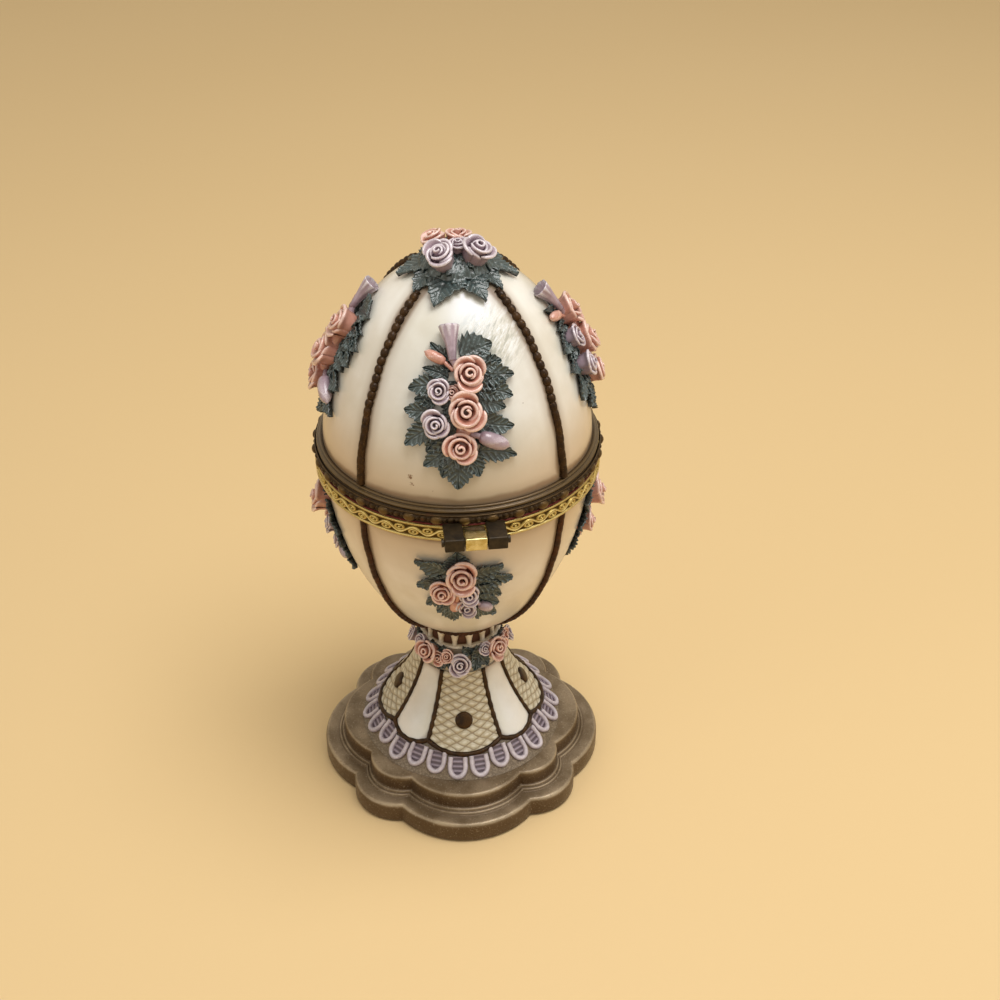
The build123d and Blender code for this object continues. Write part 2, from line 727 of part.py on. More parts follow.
# Lid hinge leaf: two square knuckles on arms that reach out from the lid's rim
half = knuckle / 2
arm_under = lid_rim_bottom - hinge_height
to_rim = hinge_distance - rim_radius
outer_face = middle_knuckle_width / 2 + knuckle_play
with BuildPart() as lid_hinge_leaf:
    for start in (outer_face, -outer_face - knuckle_width):
        with BuildSketch(hinge_side().offset(start)):
            with BuildLine():
                Polyline(
                    (-half, -half),
                    (half, -half),
                    (half, arm_under),
                    (to_rim + hinge_tab_thickness, arm_under),
                    (to_rim + hinge_tab_thickness, arm_under + hinge_tab_height),
                    (to_rim - hinge_tab_thickness, arm_under + hinge_tab_height),
                    (to_rim - hinge_tab_thickness, half),
                    (-half, half),
                    close=True,
                )
            make_face()
        extrude(amount=knuckle_width)
    fillet(lid_hinge_leaf.edges().filter_by(Axis.X).group_by(Axis.Y)[0], radius=knuckle_round)
    with BuildSketch(Plane.XY.offset(parting_height - egg_radius)):
        Circle(rim_radius + glue)
    extrude(amount=2 * egg_radius, mode=Mode.SUBTRACT)
    with BuildSketch(hinge_side().offset(-2 * outer_face - knuckle_width)):
        Circle(pin_radius + pin_play)
    extrude(amount=2 * (2 * outer_face + knuckle_width), mode=Mode.SUBTRACT)
save(lid_hinge_leaf.part.rotate(Axis.Z, hinge_turn), "lid_hinge_leaf")

# Bowl hinge leaf: the middle knuckle on an arm and a tab that go down the bowl's rim
arm_over = bowl_rim_top - hinge_height
with BuildPart() as bowl_hinge_leaf:
    with BuildSketch(hinge_side().offset(-middle_knuckle_width / 2)):
        with BuildLine():
            Polyline(
                (-half, -half),
                (to_rim - hinge_tab_thickness, -half),
                (to_rim - hinge_tab_thickness, arm_over - bowl_rim_height),
                (to_rim + hinge_tab_thickness, arm_over - bowl_rim_height),
                (to_rim + hinge_tab_thickness, arm_over),
                (half, arm_over),
                (half, half),
                (-half, half),
                close=True,
            )
        make_face()
    extrude(amount=middle_knuckle_width)
    fillet(bowl_hinge_leaf.edges().filter_by(Axis.X).group_by(Axis.Y)[0], radius=knuckle_round)
    with BuildSketch(Plane.XY.offset(parting_height - egg_radius)):
        Circle(rim_radius + glue)
    extrude(amount=2 * egg_radius, mode=Mode.SUBTRACT)
    with BuildSketch(hinge_side().offset(-middle_knuckle_width)):
        Circle(pin_radius + pin_fit)
    extrude(amount=2 * middle_knuckle_width, mode=Mode.SUBTRACT)
save(bowl_hinge_leaf.part.rotate(Axis.Z, hinge_turn), "bowl_hinge_leaf")

# Hinge pin: a plain wire with two riveted heads, fast in the middle knuckle
pin_half = outer_face + knuckle_width + knuckle_play
with BuildPart() as hinge_pin:
    with BuildSketch(hinge_side().offset(-pin_half)):
        Circle(pin_radius)
    extrude(amount=2 * pin_half)
    for start in (pin_half, -pin_half - pin_head_thickness):
        with BuildSketch(hinge_side().offset(start)):
            Circle(pin_head_radius)
        extrude(amount=pin_head_thickness)
save(hinge_pin.part.rotate(Axis.Z, hinge_turn), "hinge_pin")


def panel_cords(reach, end_radius, shut_end):
    """Four cords up the egg at 45 degrees to the panels, from the mouth to end_radius."""
    with BuildPart() as cords:
        with BuildSketch() as bars:
            with PolarLocations((end_radius + rim_radius) / 2, len(quarter_turns), start_angle=45):
                Rectangle(rim_radius - end_radius, cord_width)
        extrude(bars.sketch, amount=parting_height + 2 * lid_rise)
        add(egg_layer(reach, glue, glue + cord_height), mode=Mode.INTERSECT)
        with BuildSketch(Plane.XY.offset(shut_end)) as past_end:
            Circle(2 * rim_radius)
        extrude(past_end.sketch, amount=-reach, mode=Mode.SUBTRACT)
    return cords.part


save(panel_cords(lid_rise, lid_cord_end_radius, lid_bead_top + glue), "lid_cords")
save(panel_cords(-bowl_drop, bowl_cord_end_radius, bowl_rim_bottom - glue), "bowl_cords")

# Lid sprays: a sprig of leaves, pink roses with a bud, and lilac roses with two buds
lid_spray = egg_plane(lid_rise, lid_spray_rise)
save_on_each_side(sprig(lid_spray, lid_leaves, lid_pink_roses + lid_lilac_roses, lid_rise), "lid_leaves_{}")
save_on_each_side(flowers(lid_spray, lid_pink_roses, lid_pink_buds, lid_rise), "lid_pink_roses_{}")
save_on_each_side(flowers(lid_spray, lid_lilac_roses, lid_lilac_buds, lid_rise), "lid_lilac_roses_{}")

# Bowl sprays, smaller and rounder
bowl_spray = egg_plane(-bowl_drop, bowl_spray_drop)
save_on_each_side(sprig(bowl_spray, bowl_leaves, bowl_pink_roses + bowl_lilac_roses, -bowl_drop), "bowl_leaves_{}")
save_on_each_side(flowers(bowl_spray, bowl_pink_roses, bowl_pink_buds, -bowl_drop), "bowl_pink_roses_{}")
save_on_each_side(flowers(bowl_spray, bowl_lilac_roses, bowl_lilac_buds, -bowl_drop), "bowl_lilac_roses_{}")

def crown_skin(outline, thickness):
    """The part of a skin over the lid that lies under a plan outline."""
    with BuildPart() as skin:
        extrude(outline, amount=parting_height + 2 * lid_rise)
        add(egg_layer(lid_rise, glue, glue + thickness), mode=Mode.INTERSECT)
    return skin.part


# Top flowers: a star of leaves on the egg's crown, a low mound and four roses on it
with BuildPart() as top_leaves:
    with BuildSketch(mode=Mode.PRIVATE) as star:
        for turn in top_leaf_angles:
            with BuildLine():
                leaf_outline((0, 0), polar(top_leaf_reach, turn), top_leaf_width)
            make_face()
        Circle(top_pad_radius)
    with BuildSketch(mode=Mode.PRIVATE) as mound:
        Circle(top_pad_radius)
    add(crown_skin(star.sketch, leaf_thickness))
    add(crown_skin(mound.sketch, top_pad_thickness))
save(top_leaves.part, "top_leaves")


def top_flowers(roses):
    """Roses of one colour on the crown, leaning outwards with the shell."""
    with BuildPart() as group:
        for across, back, radius in roses:
            height = lid_rise * sqrt(1 - (across**2 + back**2) / egg_radius**2)
            normal = Vector(across / egg_radius**2, back / egg_radius**2, height / lid_rise**2).normalized()
            foot = Vector(across, back, parting_height + height) + normal * top_pad_thickness
            add(rose(Plane(foot, x_dir=(1, 0, 0), z_dir=normal), radius))
        add(egg_form(lid_rise, 2 * glue + top_pad_thickness), mode=Mode.SUBTRACT)
    return group.part


save(top_flowers(top_pink_roses), "top_pink_roses")
save(top_flowers(top_lilac_roses), "top_lilac_roses")

# Garland: leaves and roses around the neck
with BuildPart() as garland_leaves:
    for number in range(garland_leaf_turns):
        turn = 360 * (number + 0.5) / garland_leaf_turns
        with BuildSketch(flare_plane(turn, neck_height - garland_leaf_drop)) as leaf:
            with BuildLine():
                leaf_outline((0, -garland_leaf_length / 2), (0, garland_leaf_length / 2), garland_leaf_width)
            make_face()
        extrude(leaf.sketch, amount=neck_radius / 2, both=True)
    add(flare_layer(glue, glue + leaf_thickness), mode=Mode.INTERSECT)
save(garland_leaves.part, "garland_leaves")


def garland_flowers(roses):
    """Roses of one colour around the neck, seated over the leaves and the outline cords."""
    with BuildPart() as group:
        for turn, drop, radius in roses:
            add(rose(flare_plane(turn, neck_height - drop), radius))
        add(flare_form(2 * glue + max(leaf_thickness, outline_height)), mode=Mode.SUBTRACT)
        with BuildSketch(Plane.XY.offset(neck_height)):
            Circle(arcade_radius + glue)
        extrude(amount=pedestal_height, mode=Mode.SUBTRACT)
    return group.part


save(garland_flowers(garland_pink_roses), "garland_pink_roses")
save(garland_flowers(garland_lilac_roses), "garland_lilac_roses")
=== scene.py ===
from math import cos, pi, radians, sin, sqrt

import bmesh
import bpy
import numpy as np
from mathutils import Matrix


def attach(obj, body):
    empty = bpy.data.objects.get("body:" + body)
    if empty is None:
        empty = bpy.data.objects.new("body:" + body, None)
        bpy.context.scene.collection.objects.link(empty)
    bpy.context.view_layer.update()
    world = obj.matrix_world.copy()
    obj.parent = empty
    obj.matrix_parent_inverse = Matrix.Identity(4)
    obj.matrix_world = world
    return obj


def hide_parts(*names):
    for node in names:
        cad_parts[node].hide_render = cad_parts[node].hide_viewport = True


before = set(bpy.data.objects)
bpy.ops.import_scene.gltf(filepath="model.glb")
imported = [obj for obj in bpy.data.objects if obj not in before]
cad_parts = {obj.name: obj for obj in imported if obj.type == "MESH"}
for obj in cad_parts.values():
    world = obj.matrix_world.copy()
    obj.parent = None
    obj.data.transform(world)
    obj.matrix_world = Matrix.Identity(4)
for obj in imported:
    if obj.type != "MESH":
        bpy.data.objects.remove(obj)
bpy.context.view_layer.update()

# Felt pad: a disc of short brown felt, punched out and glued into the plinth's underside.
# It stands a little proud of the casting, so the egg rests on felt alone.


class Tone:
    """One value in a finish, from its nodes; arithmetic on it adds the nodes that work out the result."""

    def __init__(self, material, socket):
        self.material, self.socket = material, socket

    def __add__(self, other):
        return wire(self.material, "Math", self, other, operation="ADD")

    def __sub__(self, other):
        return wire(self.material, "Math", self, other, operation="SUBTRACT")

    def __mul__(self, other):
        return wire(self.material, "Math", self, other, operation="MULTIPLY")


def fill(socket, value):
    """Puts a value in a node's input, by a link where the value is a tone."""
    if isinstance(value, Tone):
        value.material.node_tree.links.new(value.socket, socket)
    elif value is not None:
        socket.default_value = value


def wire(material, kind, *values, out=0, **settings):
    """Adds one shader node, fills its inputs in order, and gives back one of its outputs."""
    node = material.node_tree.nodes.new("ShaderNode" + kind)
    for setting, value in settings.items():
        setattr(node, setting, value)
    for socket, value in zip(node.inputs, values):
        fill(socket, value)
    return Tone(material, node.outputs[out])


def tint(red, green, blue):
    """A paint colour from its 0 to 255 screen values, as the linear colour that a shader takes."""
    shares = [value / 255 for value in (red, green, blue)]
    return [s / 12.92 if s <= 0.04045 else ((s + 0.055) / 1.055) ** 2.4 for s in shares] + [1.0]


def finish(name, **sockets):
    """A new material with sockets set on its shader, such as Coat_Weight=0.3, and places on the object."""
    material = bpy.data.materials.new(name)
    material.use_nodes = True
    shader = material.node_tree.nodes["Principled BSDF"]
    for socket, value in sockets.items():
        shader.inputs[socket.replace("_", " ")].default_value = value
    return material, wire(material, "TexCoord", out="Object")


def lay(ground, *coats):
    """Colours laid over a ground in turn, each given as an amount from 0 to 1 and a colour."""
    for amount, colour in coats:
        material = amount.material
        node = material.node_tree.nodes.new("ShaderNodeMix")
        node.data_type = "RGBA"
        for index, value in ((0, amount), (6, ground), (7, colour)):
            fill(node.inputs[index], value)
        ground = Tone(material, node.outputs[2])
    return ground


def grain(place, size, detail=3.0, rough=0.55):
    """Noise whose blotches are about size millimetres across."""
    return wire(place.material, "TexNoise", place, None, 1000 / size, detail, rough)


def coat_with(colour, rough=None, height=None, depth=0.05):
    """Joins colour, roughness and a relief of depth millimetres to the colour's own shader."""
    nodes = colour.material.node_tree.nodes
    shader = nodes["Principled BSDF"]
    fill(shader.inputs["Base Color"], colour)
    fill(shader.inputs["Roughness"], rough)
    bump = nodes.new("ShaderNodeBump")
    bump.inputs["Distance"].default_value = depth * 0.001
    fill(bump.inputs["Height"], height)
    fill(shader.inputs["Normal"], Tone(colour.material, bump.outputs["Normal"]))


def dress(node, material):
    """Gives a CAD node the finish of the real piece."""
    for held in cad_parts[node].material_slots:
        held.material = material


felt, place = finish("brown_felt", Roughness=0.95, Sheen_Weight=0.3)
nap = grain(place, 0.5, 6.0, 0.7)
coat_with(lay(tint(52, 40, 30), (nap, tint(92, 74, 58))), None, nap, 0.2)
dress("felt_pad", felt)

# Plinth: two lobed tiers with a fine double moulding between them, cast in one piece of resin.
# Sprayed with a pewter-bronze metallic paint that has rubbed paler along every edge, and darkened on the
# walls and in the moulding's grooves as painted shade.
TIER_CUSP, WIDE_LOBE, NARROW_LOBE, LOBE_ANGLE = 34.6, 3.6, 2.8, 30.0


def lobe_edge(turn, cusp, wide, narrow, angle):
    """Plan radius of four wide and four narrow round lobes, at a turn in degrees from the front."""
    crest, half, swing = cusp + wide, angle, (turn + angle) % 90 - angle
    if swing > angle:
        crest, half, swing = cusp + narrow, 45 - angle, swing - 45
    middle = (crest**2 - cusp**2) / (2 * (crest - cusp * cos(radians(half))))
    across = middle * sin(radians(swing))
    return middle * cos(radians(swing)) + sqrt((crest - middle) ** 2 - across**2)


def strip(rows, columns, closed=False, first=0):
    """Quads between points stored row by row; closed joins the ends of each row."""
    faces = []
    for row in range(rows - 1):
        for column in range(columns if closed else columns - 1):
            here = first + row * columns + column
            beside = first + row * columns + (column + 1) % columns
            faces.append((here, beside, beside + columns, here + columns))
    return faces


def piece(name, points, faces, material, body, slot, node, **paint):
    """A smooth-shaded piece from points in millimetres, with named paint values on its points."""
    mesh = bpy.data.meshes.new(name)
    mesh.from_pydata((np.asarray(points, dtype=float).reshape(-1, 3) * 0.001).tolist(), [], faces)
    mesh.shade_smooth()
    for label, values in paint.items():
        layer = mesh.attributes.new(label, "FLOAT", "POINT")
        layer.data.foreach_set("value", np.ascontiguousarray(values, dtype=np.float32).ravel())
    mesh.materials.append(material)
    made = bpy.data.objects.new(name, mesh)
    bpy.context.scene.collection.objects.link(made)
    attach(made, body)
    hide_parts(node)


def painted(material, label):
    """The paint values that a piece holds under a label, for its finish."""
    return wire(material, "Attribute", attribute_name=label, out=2)


def ramp(value, low, high):
    """0 below low, 1 above high, and a smooth rise between them; low may be the larger."""
    return wire(value.material, "MapRange", value, low, high, 0.0, 1.0, interpolation_type="SMOOTHSTEP")


def between(value, low, high, first, last):
    """Runs evenly from first to last as the value goes from low to high."""
    return wire(value.material, "MapRange", value, low, high, first, last)


quarter_turns = [-29.9, *np.linspace(-29.2, 29.2, 33), 29.9, 30.1, *np.linspace(30.8, 59.2, 17), 59.9]
tier_turns = [turn + 90 * quarter for quarter in range(4) for turn in quarter_turns]
# Each row of the moulded edge: how far in from the lower tier's outline, height, wear, painted shade on
# walls and in grooves
tier_rows = [
    (9.0, 0.2, 0.0, 1.0), (0.7, 0.2, 0.0, 1.0), (0.2, 0.42, 0.15, 1.0), (0.0, 0.85, 0.1, 1.0),
    (0.0, 3.2, 0.0, 1.0), (0.0, 4.9, 0.1, 0.95), (0.08, 5.45, 0.45, 0.7), (0.28, 5.9, 0.75, 0.35),
    (0.62, 6.17, 0.7, 0.1), (1.05, 6.28, 0.45, 0.0), (1.7, 6.3, 0.2, 0.0), (3.3, 6.28, 0.0, 0.25),
    (3.68, 6.26, 0.0, 0.8), (3.76, 6.34, 0.0, 0.7), (3.82, 6.6, 0.2, 0.3), (3.97, 6.82, 0.55, 0.05),
    (4.22, 6.9, 0.5, 0.0), (4.46, 6.82, 0.15, 0.5), (4.58, 6.7, 0.0, 1.0), (4.66, 6.92, 0.1, 0.5),
    (4.76, 7.26, 0.45, 0.1), (4.95, 7.47, 0.5, 0.0), (5.18, 7.45, 0.15, 0.5), (5.33, 7.38, 0.0, 1.0),
    (5.39, 7.7, 0.0, 1.0), (5.4, 9.0, 0.0, 1.0), (5.4, 10.6, 0.1, 0.9), (5.46, 11.15, 0.45, 0.6),
    (5.64, 11.56, 0.75, 0.3), (5.97, 11.81, 0.6, 0.1), (6.45, 11.9, 0.3, 0.0), (8.5, 11.9, 0.0, 0.0),
    (16.0, 11.9, 0.0, 0.3),
]
tier_points = []
for inset, height, _, _ in tier_rows:
    for turn in tier_turns:
        reach = lobe_edge(turn, TIER_CUSP - inset, WIDE_LOBE, NARROW_LOBE, LOBE_ANGLE)
        tier_points.append((reach * sin(radians(turn)), -reach * cos(radians(turn)), height))
tier_wear, tier_wall = (np.repeat([row[k] for row in tier_rows], len(tier_turns)) for k in (2, 3))

pewter, place = finish("pewter_bronze_paint", Metallic=0.45, Coat_Weight=0.15)
cloud = grain(place, 9.0, 4.0)
fleck = grain(place, 0.45, 2.0, 0.8)
glint = wire(pewter, "TexVoronoi", place, None, 2600.0, out=1)
sprayed = lay(
    tint(104, 86, 62),
    (ramp(cloud, 0.35, 0.65), tint(140, 122, 98)),
    # Painted shade: dark brown on the tiers' walls and in the moulding's grooves.
    (painted(pewter, "wall") * 0.85, tint(72, 50, 24)),
    (ramp(painted(pewter, "wear") + cloud * 0.7, 0.75, 1.3), tint(164, 146, 118)),
    (ramp(fleck, 0.58, 0.72) * 0.5, tint(186, 172, 148)),
    (ramp(fleck, 0.4, 0.28) * 0.6, tint(66, 48, 32)),
)
coat_with(sprayed, between(glint, 0.0, 1.0, 0.34, 0.56), fleck + cloud * 2.0)
piece("plinth_casting", tier_points, strip(len(tier_rows), len(tier_turns), True), pewter, "stand",
      "plinth_bronze", "plinth", wear=tier_wear, wall=tier_wall)

# Pedestal: a solid trumpet casting, spigoted into the plinth below and the bowl above.
# Ivory between the applied panels, and sprayed with the plinth's paint around its foot.
FLARE, NECK_RADIUS, FOOT_RADIUS, NECK_TOP, FOOT_TOP = 45.0, 10.0, 27.3, 43.45, 11.95
chord_r, chord_z = FOOT_RADIUS - NECK_RADIUS, FOOT_TOP - NECK_TOP
chord = sqrt(chord_r**2 + chord_z**2)
off_chord = sqrt(FLARE**2 - chord**2 / 4)
FLARE_R = (NECK_RADIUS + FOOT_RADIUS) / 2 - chord_z / chord * off_chord
FLARE_Z = (NECK_TOP + FOOT_TOP) / 2 + chord_r / chord * off_chord


def vector(operation, value, *others):
    """One step of arithmetic on places; a length or a distance comes back as a number."""
    out = "Value" if operation in ("LENGTH", "DISTANCE") else "Vector"
    return wire(value.material, "VectorMath", value, *others, out=out, operation=operation)


trunk, place = finish("ivory_over_bronze", Coat_Weight=0.2)
fleck = grain(place, 0.5, 2.0, 0.8)
ivory = lay(tint(206, 192, 166), (ramp(grain(place, 5.0), 0.4, 0.75), tint(150, 124, 88)))
foot_coat = lay(tint(94, 77, 54), (ramp(fleck, 0.4, 0.7), tint(138, 120, 96)))
from_axis = vector("LENGTH", vector("MULTIPLY", place, (1000.0, 1000.0, 0.0)))
coat_with(lay(ivory, (ramp(from_axis, 19.8, 20.6), foot_coat)), 0.45, fleck, 0.04)
dress("pedestal", trunk)

# Quilted tongues: four raised panels on the pedestal, scored with a lattice of diamonds that stand up
# like quilting. Painted ivory, with a brown wash wiped back so that it stays in the scored lines, and paler
# on the crowns as painted highlight.
TONGUE_ANGLE, TONGUE_CUSP, WIDE_SCALLOP, NARROW_SCALLOP, TONGUE_TOP = 27.9, 20.5, 1.7, 1.3, 11.3
DIAMOND_TALL, DIAMOND_WIDE, QUILT_GRID = 2.3, 4.1, (170, 110)


def ring_points(turn, radius, height):
    """Points at turns in radians from the front, plan radii and heights."""
    turn, radius, height = np.broadcast_arrays(turn, radius, height)
    return np.stack([radius * np.sin(turn), -radius * np.cos(turn), height], axis=-1)


def on_flare(turn, radius, rise):
    """Points on the pedestal at turns in radians and plan radii, lifted off the flare by rise."""
    lean = (FLARE_R - radius) / FLARE
    drop = np.sqrt(1 - lean**2)
    return ring_points(turn, radius + lean * rise, FLARE_Z - FLARE * drop + drop * rise)


def tongue_edge(turn):
    """Plan radius of the tongues' rounded ends, at a turn in degrees from the front."""
    return lobe_edge(turn, TONGUE_CUSP, WIDE_SCALLOP, NARROW_SCALLOP, TONGUE_ANGLE)


def tongue_grid(middle, half, rows, columns):
    """Turns and plan radii over one tongue, with distances along and across it in millimetres."""
    turns = np.linspace(-half, half, columns)
    steep = np.arccos((FLARE_R - TONGUE_TOP) / FLARE)
    ends = np.array([np.arccos((FLARE_R - tongue_edge(middle + t)) / FLARE) for t in turns])
    angle = steep + (ends - steep)[None, :] * np.linspace(0, 1, rows)[:, None]
    radius = FLARE_R - FLARE * np.cos(angle)
    across = radius * np.radians(turns)[None, :]
    return np.radians(middle + turns)[None, :] + 0 * radius, radius, FLARE * angle, across


def ridge(value, pitch, width):
    """1 on parallel lines a pitch apart, fading to 0 at half their width."""
    away = np.abs((value / pitch + 0.5) % 1 - 0.5) * pitch
    return np.clip(1 - (away / (width / 2)) ** 2, 0, 1)


def gather(parts):
    """Joins several lots of points and faces, with any paint values, into one."""
    points, faces, paints = [], [], [[] for _ in parts[0][2:]]
    for some_points, some_faces, *some_paints in parts:
        first = sum(map(len, points))
        faces += [tuple(first + corner for corner in face) for face in some_faces]
        points.append(np.asarray(some_points).reshape(-1, 3))
        for lot, values in zip(paints, some_paints):
            lot.append(np.ravel(values))
    return [np.concatenate(points), faces] + [np.concatenate(lot) for lot in paints]


def cast(name, parts, material, body, slot, node, label="raised"):
    """Makes one piece of several parts; the paint values that they carry are kept under the label."""
    points, faces, *paints = gather(parts)
    piece(name, points, faces, material, body, slot, node, **{label: values for values in paints})


quilt_parts = []
for quarter in range(4):
    turn, radius, along, across = tongue_grid(90 * quarter, TONGUE_ANGLE, *QUILT_GRID)
    down = along / DIAMOND_TALL + 0.06 * np.sin(across * 1.3 + quarter)
    aside = across / DIAMOND_WIDE + 0.05 * np.sin(along * 1.1 + 2 * quarter)
    scored = np.maximum(ridge(down + aside, 1.0, 0.22), ridge(down - aside, 1.0, 0.22))
    puffed = np.abs(np.sin(pi * (down + aside)) * np.sin(pi * (down - aside))) ** 0.6
    points = on_flare(turn, radius, 0.34 + 0.24 * puffed - 0.06 * scored)
    quilt_parts.append((points, strip(*QUILT_GRID), puffed * (1 - scored)))

ivory_wash, place = finish("washed_ivory", Coat_Weight=0.25, Coat_Roughness=0.3)
cloud = grain(place, 3.0)
dust = grain(place, 0.4, 2.0)
raised = painted(ivory_wash, "raised")
wash_and_crown_highlight = lay(
    tint(196, 186, 160),
    (ramp(cloud, 0.35, 0.7), tint(180, 166, 136)),
    (ramp(raised + (cloud - 0.5) * 0.8, 0.45, 0.0) * 0.65, tint(116, 92, 58)),
    # Paler on the puffed crowns: a painted highlight.
    (ramp(raised, 0.75, 1.0), tint(214, 206, 186)),
    (ramp(dust, 0.66, 0.8), tint(140, 116, 80)),
)
coat_with(wash_and_crown_highlight, 0.42, dust, 0.02)
cast("quilted_panels", quilt_parts, ivory_wash, "stand", "ivory_resin", "quilted_tongues")

# Plain tongues: four drop-shaped pearl panels between the quilted ones, domed towards their ends.
# Pearl lacquer over white, with a brown wash and painted shade along their edges.
DROP_GRID = (60, 34)
drop_parts = []
for quarter in range(4):
    turn, radius, _, _ = tongue_grid(45 + 90 * quarter, 45 - TONGUE_ANGLE, *DROP_GRID)
    down, side = np.linspace(0, 1, DROP_GRID[0])[:, None], np.linspace(-1, 1, DROP_GRID[1])[None, :]
    dome = (1 - side**2) * np.clip(np.minimum(down * 2.2, (1 - down) * 4.5), 0, 1) ** 0.6
    points = on_flare(turn, radius, 0.3 + (0.25 + 0.75 * down) * dome)
    drop_parts.append((points, strip(*DROP_GRID), 1 - dome))


def pearl_coat(name):
    """Pearl lacquer: warm white with faint clouds, a soft rainbow in its gloss and fine dust marks."""
    material, place = finish(name, Coat_Weight=0.5, Coat_Roughness=0.3, Specular_IOR_Level=0.6,
                             Thin_Film_Thickness=320.0, Thin_Film_IOR=1.45)
    cloud = grain(place, 14.0, 4.0)
    white = lay(tint(233, 230, 219), (ramp(cloud, 0.3, 0.7), tint(217, 211, 194)))
    return material, place, white, cloud, grain(place, 0.35, 2.0, 0.7)


pearl_drop, _, white, cloud, silk = pearl_coat("pearl_drop")
# brown: a brown wash and painted shade along the drops' edges, where they dip to the cords.
brown = ramp(painted(pearl_drop, "edge") + cloud * 0.3, 0.8, 1.25)
coat_with(lay(white, (brown, tint(122, 96, 62))), 0.3, silk, 0.006)
cast("pearl_panels", drop_parts, pearl_drop, "stand", "pearl_resin", "plain_tongues", label="edge")

# Outline cords: one raised cord along the edge of every tongue, modelled on the pedestal.
# Brushed by hand with dark bronze paint, so its width and shine waver.
CORD_RISE = 0.36


def flare_normal(turn, radius):
    """Directions straight out of the pedestal at turns in radians and plan radii."""
    lean = (FLARE_R - radius) / FLARE
    return ring_points(turn, lean, np.sqrt(1 - lean**2))


def unit(vectors):
    """The same directions, each 1 long."""
    return vectors / np.linalg.norm(vectors, axis=-1, keepdims=True)


def full_turn(steps):
    """Angles all the way round, in radians, in even steps."""
    return np.linspace(0, 2 * pi, steps, endpoint=False)


def tube(path, out, radius, sides=10):
    """Points and faces of a round cord along a path, with out as its upward directions."""
    ahead = unit(np.gradient(path, axis=0))
    beside = unit(np.cross(ahead, out))
    above = np.cross(beside, ahead)
    swing = full_turn(sides)[None, :, None]
    spokes = np.cos(swing) * beside[:, None, :] + np.sin(swing) * above[:, None, :]
    points = path[:, None, :] + np.broadcast_to(radius, (len(path),))[:, None, None] * spokes
    faces = [face[::-1] for face in strip(len(path), sides, True)]
    faces += [tuple(range(sides)), tuple(range((len(path) - 1) * sides, len(path) * sides))[::-1]]
    return points.reshape(-1, 3), faces


def flare_cord(turn, radius, rise, girth, sides=10):
    """A cord laid on the pedestal along turns in radians and plan radii."""
    return tube(on_flare(turn, radius, rise), flare_normal(turn, radius), girth, sides)


def bronze_brush(name, deep, body, rubbed):
    """Dark bronze paint brushed over resin: nearly black where it lies thick, paler in rubbed flecks."""
    material, place = finish(name, Metallic=0.4, Coat_Weight=0.15, Coat_Roughness=0.16,
                             Specular_IOR_Level=0.2)
    cloud = grain(place, 2.2, 4.0, 0.6)
    fleck = grain(place, 0.35, 2.0, 0.7)
    colour = lay(deep, (ramp(cloud, 0.35, 0.7), body), (ramp(fleck, 0.6, 0.75), rubbed))
    coat_with(colour, between(cloud, 0.3, 0.7, 0.36, 0.58), fleck + cloud)
    return material


outline_parts = []
for quarter in range(4):
    for side in (-TONGUE_ANGLE, TONGUE_ANGLE):
        radius = np.linspace(TONGUE_TOP, TONGUE_CUSP + 0.1, 60)
        turn = np.full(60, radians(90 * quarter + side))
        waver = 0.64 + 0.06 * np.sin(np.arange(60) * 0.7 + quarter * 2 + side)
        outline_parts.append(flare_cord(turn, radius, CORD_RISE, waver))
    for middle, half in ((90 * quarter, TONGUE_ANGLE), (90 * quarter + 45, 45 - TONGUE_ANGLE)):
        turns = np.linspace(middle - half, middle + half, 50)
        radius = np.array([tongue_edge(t - 1e-6 if t > middle else t + 1e-6) for t in turns])
        waver = 0.66 + 0.06 * np.sin(np.arange(50) * 0.6 + middle)
        outline_parts.append(flare_cord(np.radians(turns), radius, CORD_RISE, waver))
bronze = bronze_brush("bronze_cord_paint", tint(36, 20, 5), tint(66, 42, 13), tint(112, 80, 30))
cast("tongue_outline", outline_parts, bronze, "stand", "bronze_paint", "outline_cords")

# Studs: one low round boss in the middle of each quilted tongue, cast with the panel.
# Picked out with a single touch of bronze paint.
STUD_PLACE, STUD_SIZE, DRAWN_SIZE = 16.6, 2.35, 2.25
BOSS = [(2.25, -0.5), (2.25, 0.55), (2.16, 0.82), (1.9, 1.0), (1.4, 1.12), (0.8, 1.18), (0.3, 1.2)]


def turned(profile, sides=36):
    """Points and faces of a round shape about its own z axis; the profile runs upwards or inwards."""
    swing = full_turn(sides)
    points = [np.stack([r * np.cos(swing), r * np.sin(swing), z + 0 * swing], axis=1) for r, z in profile]
    faces = strip(len(profile), sides, True)
    faces.append(tuple((len(profile) - 1) * sides + k for k in range(sides)))
    return np.concatenate(points), faces


def set_on(points, origin, across, out):
    """Moves points from their own axes to a place on the object, z along out and x along across."""
    out = unit(out)
    across = unit(across - out * np.dot(across, out))
    return points @ np.stack([across, np.cross(out, across), out]) + origin


stud_parts = []
for turn in np.radians([0, 90, 180, 270]):
    points, faces = turned([(r * STUD_SIZE / DRAWN_SIZE, z) for r, z in BOSS])
    foot, along_ring = on_flare(turn, STUD_PLACE, 0), np.array([cos(turn), sin(turn), 0])
    stud_parts.append((set_on(points, foot, along_ring, flare_normal(turn, STUD_PLACE)), faces))
cast("tongue_studs", stud_parts, bronze, "stand", "bronze_paint", "pedestal_studs")

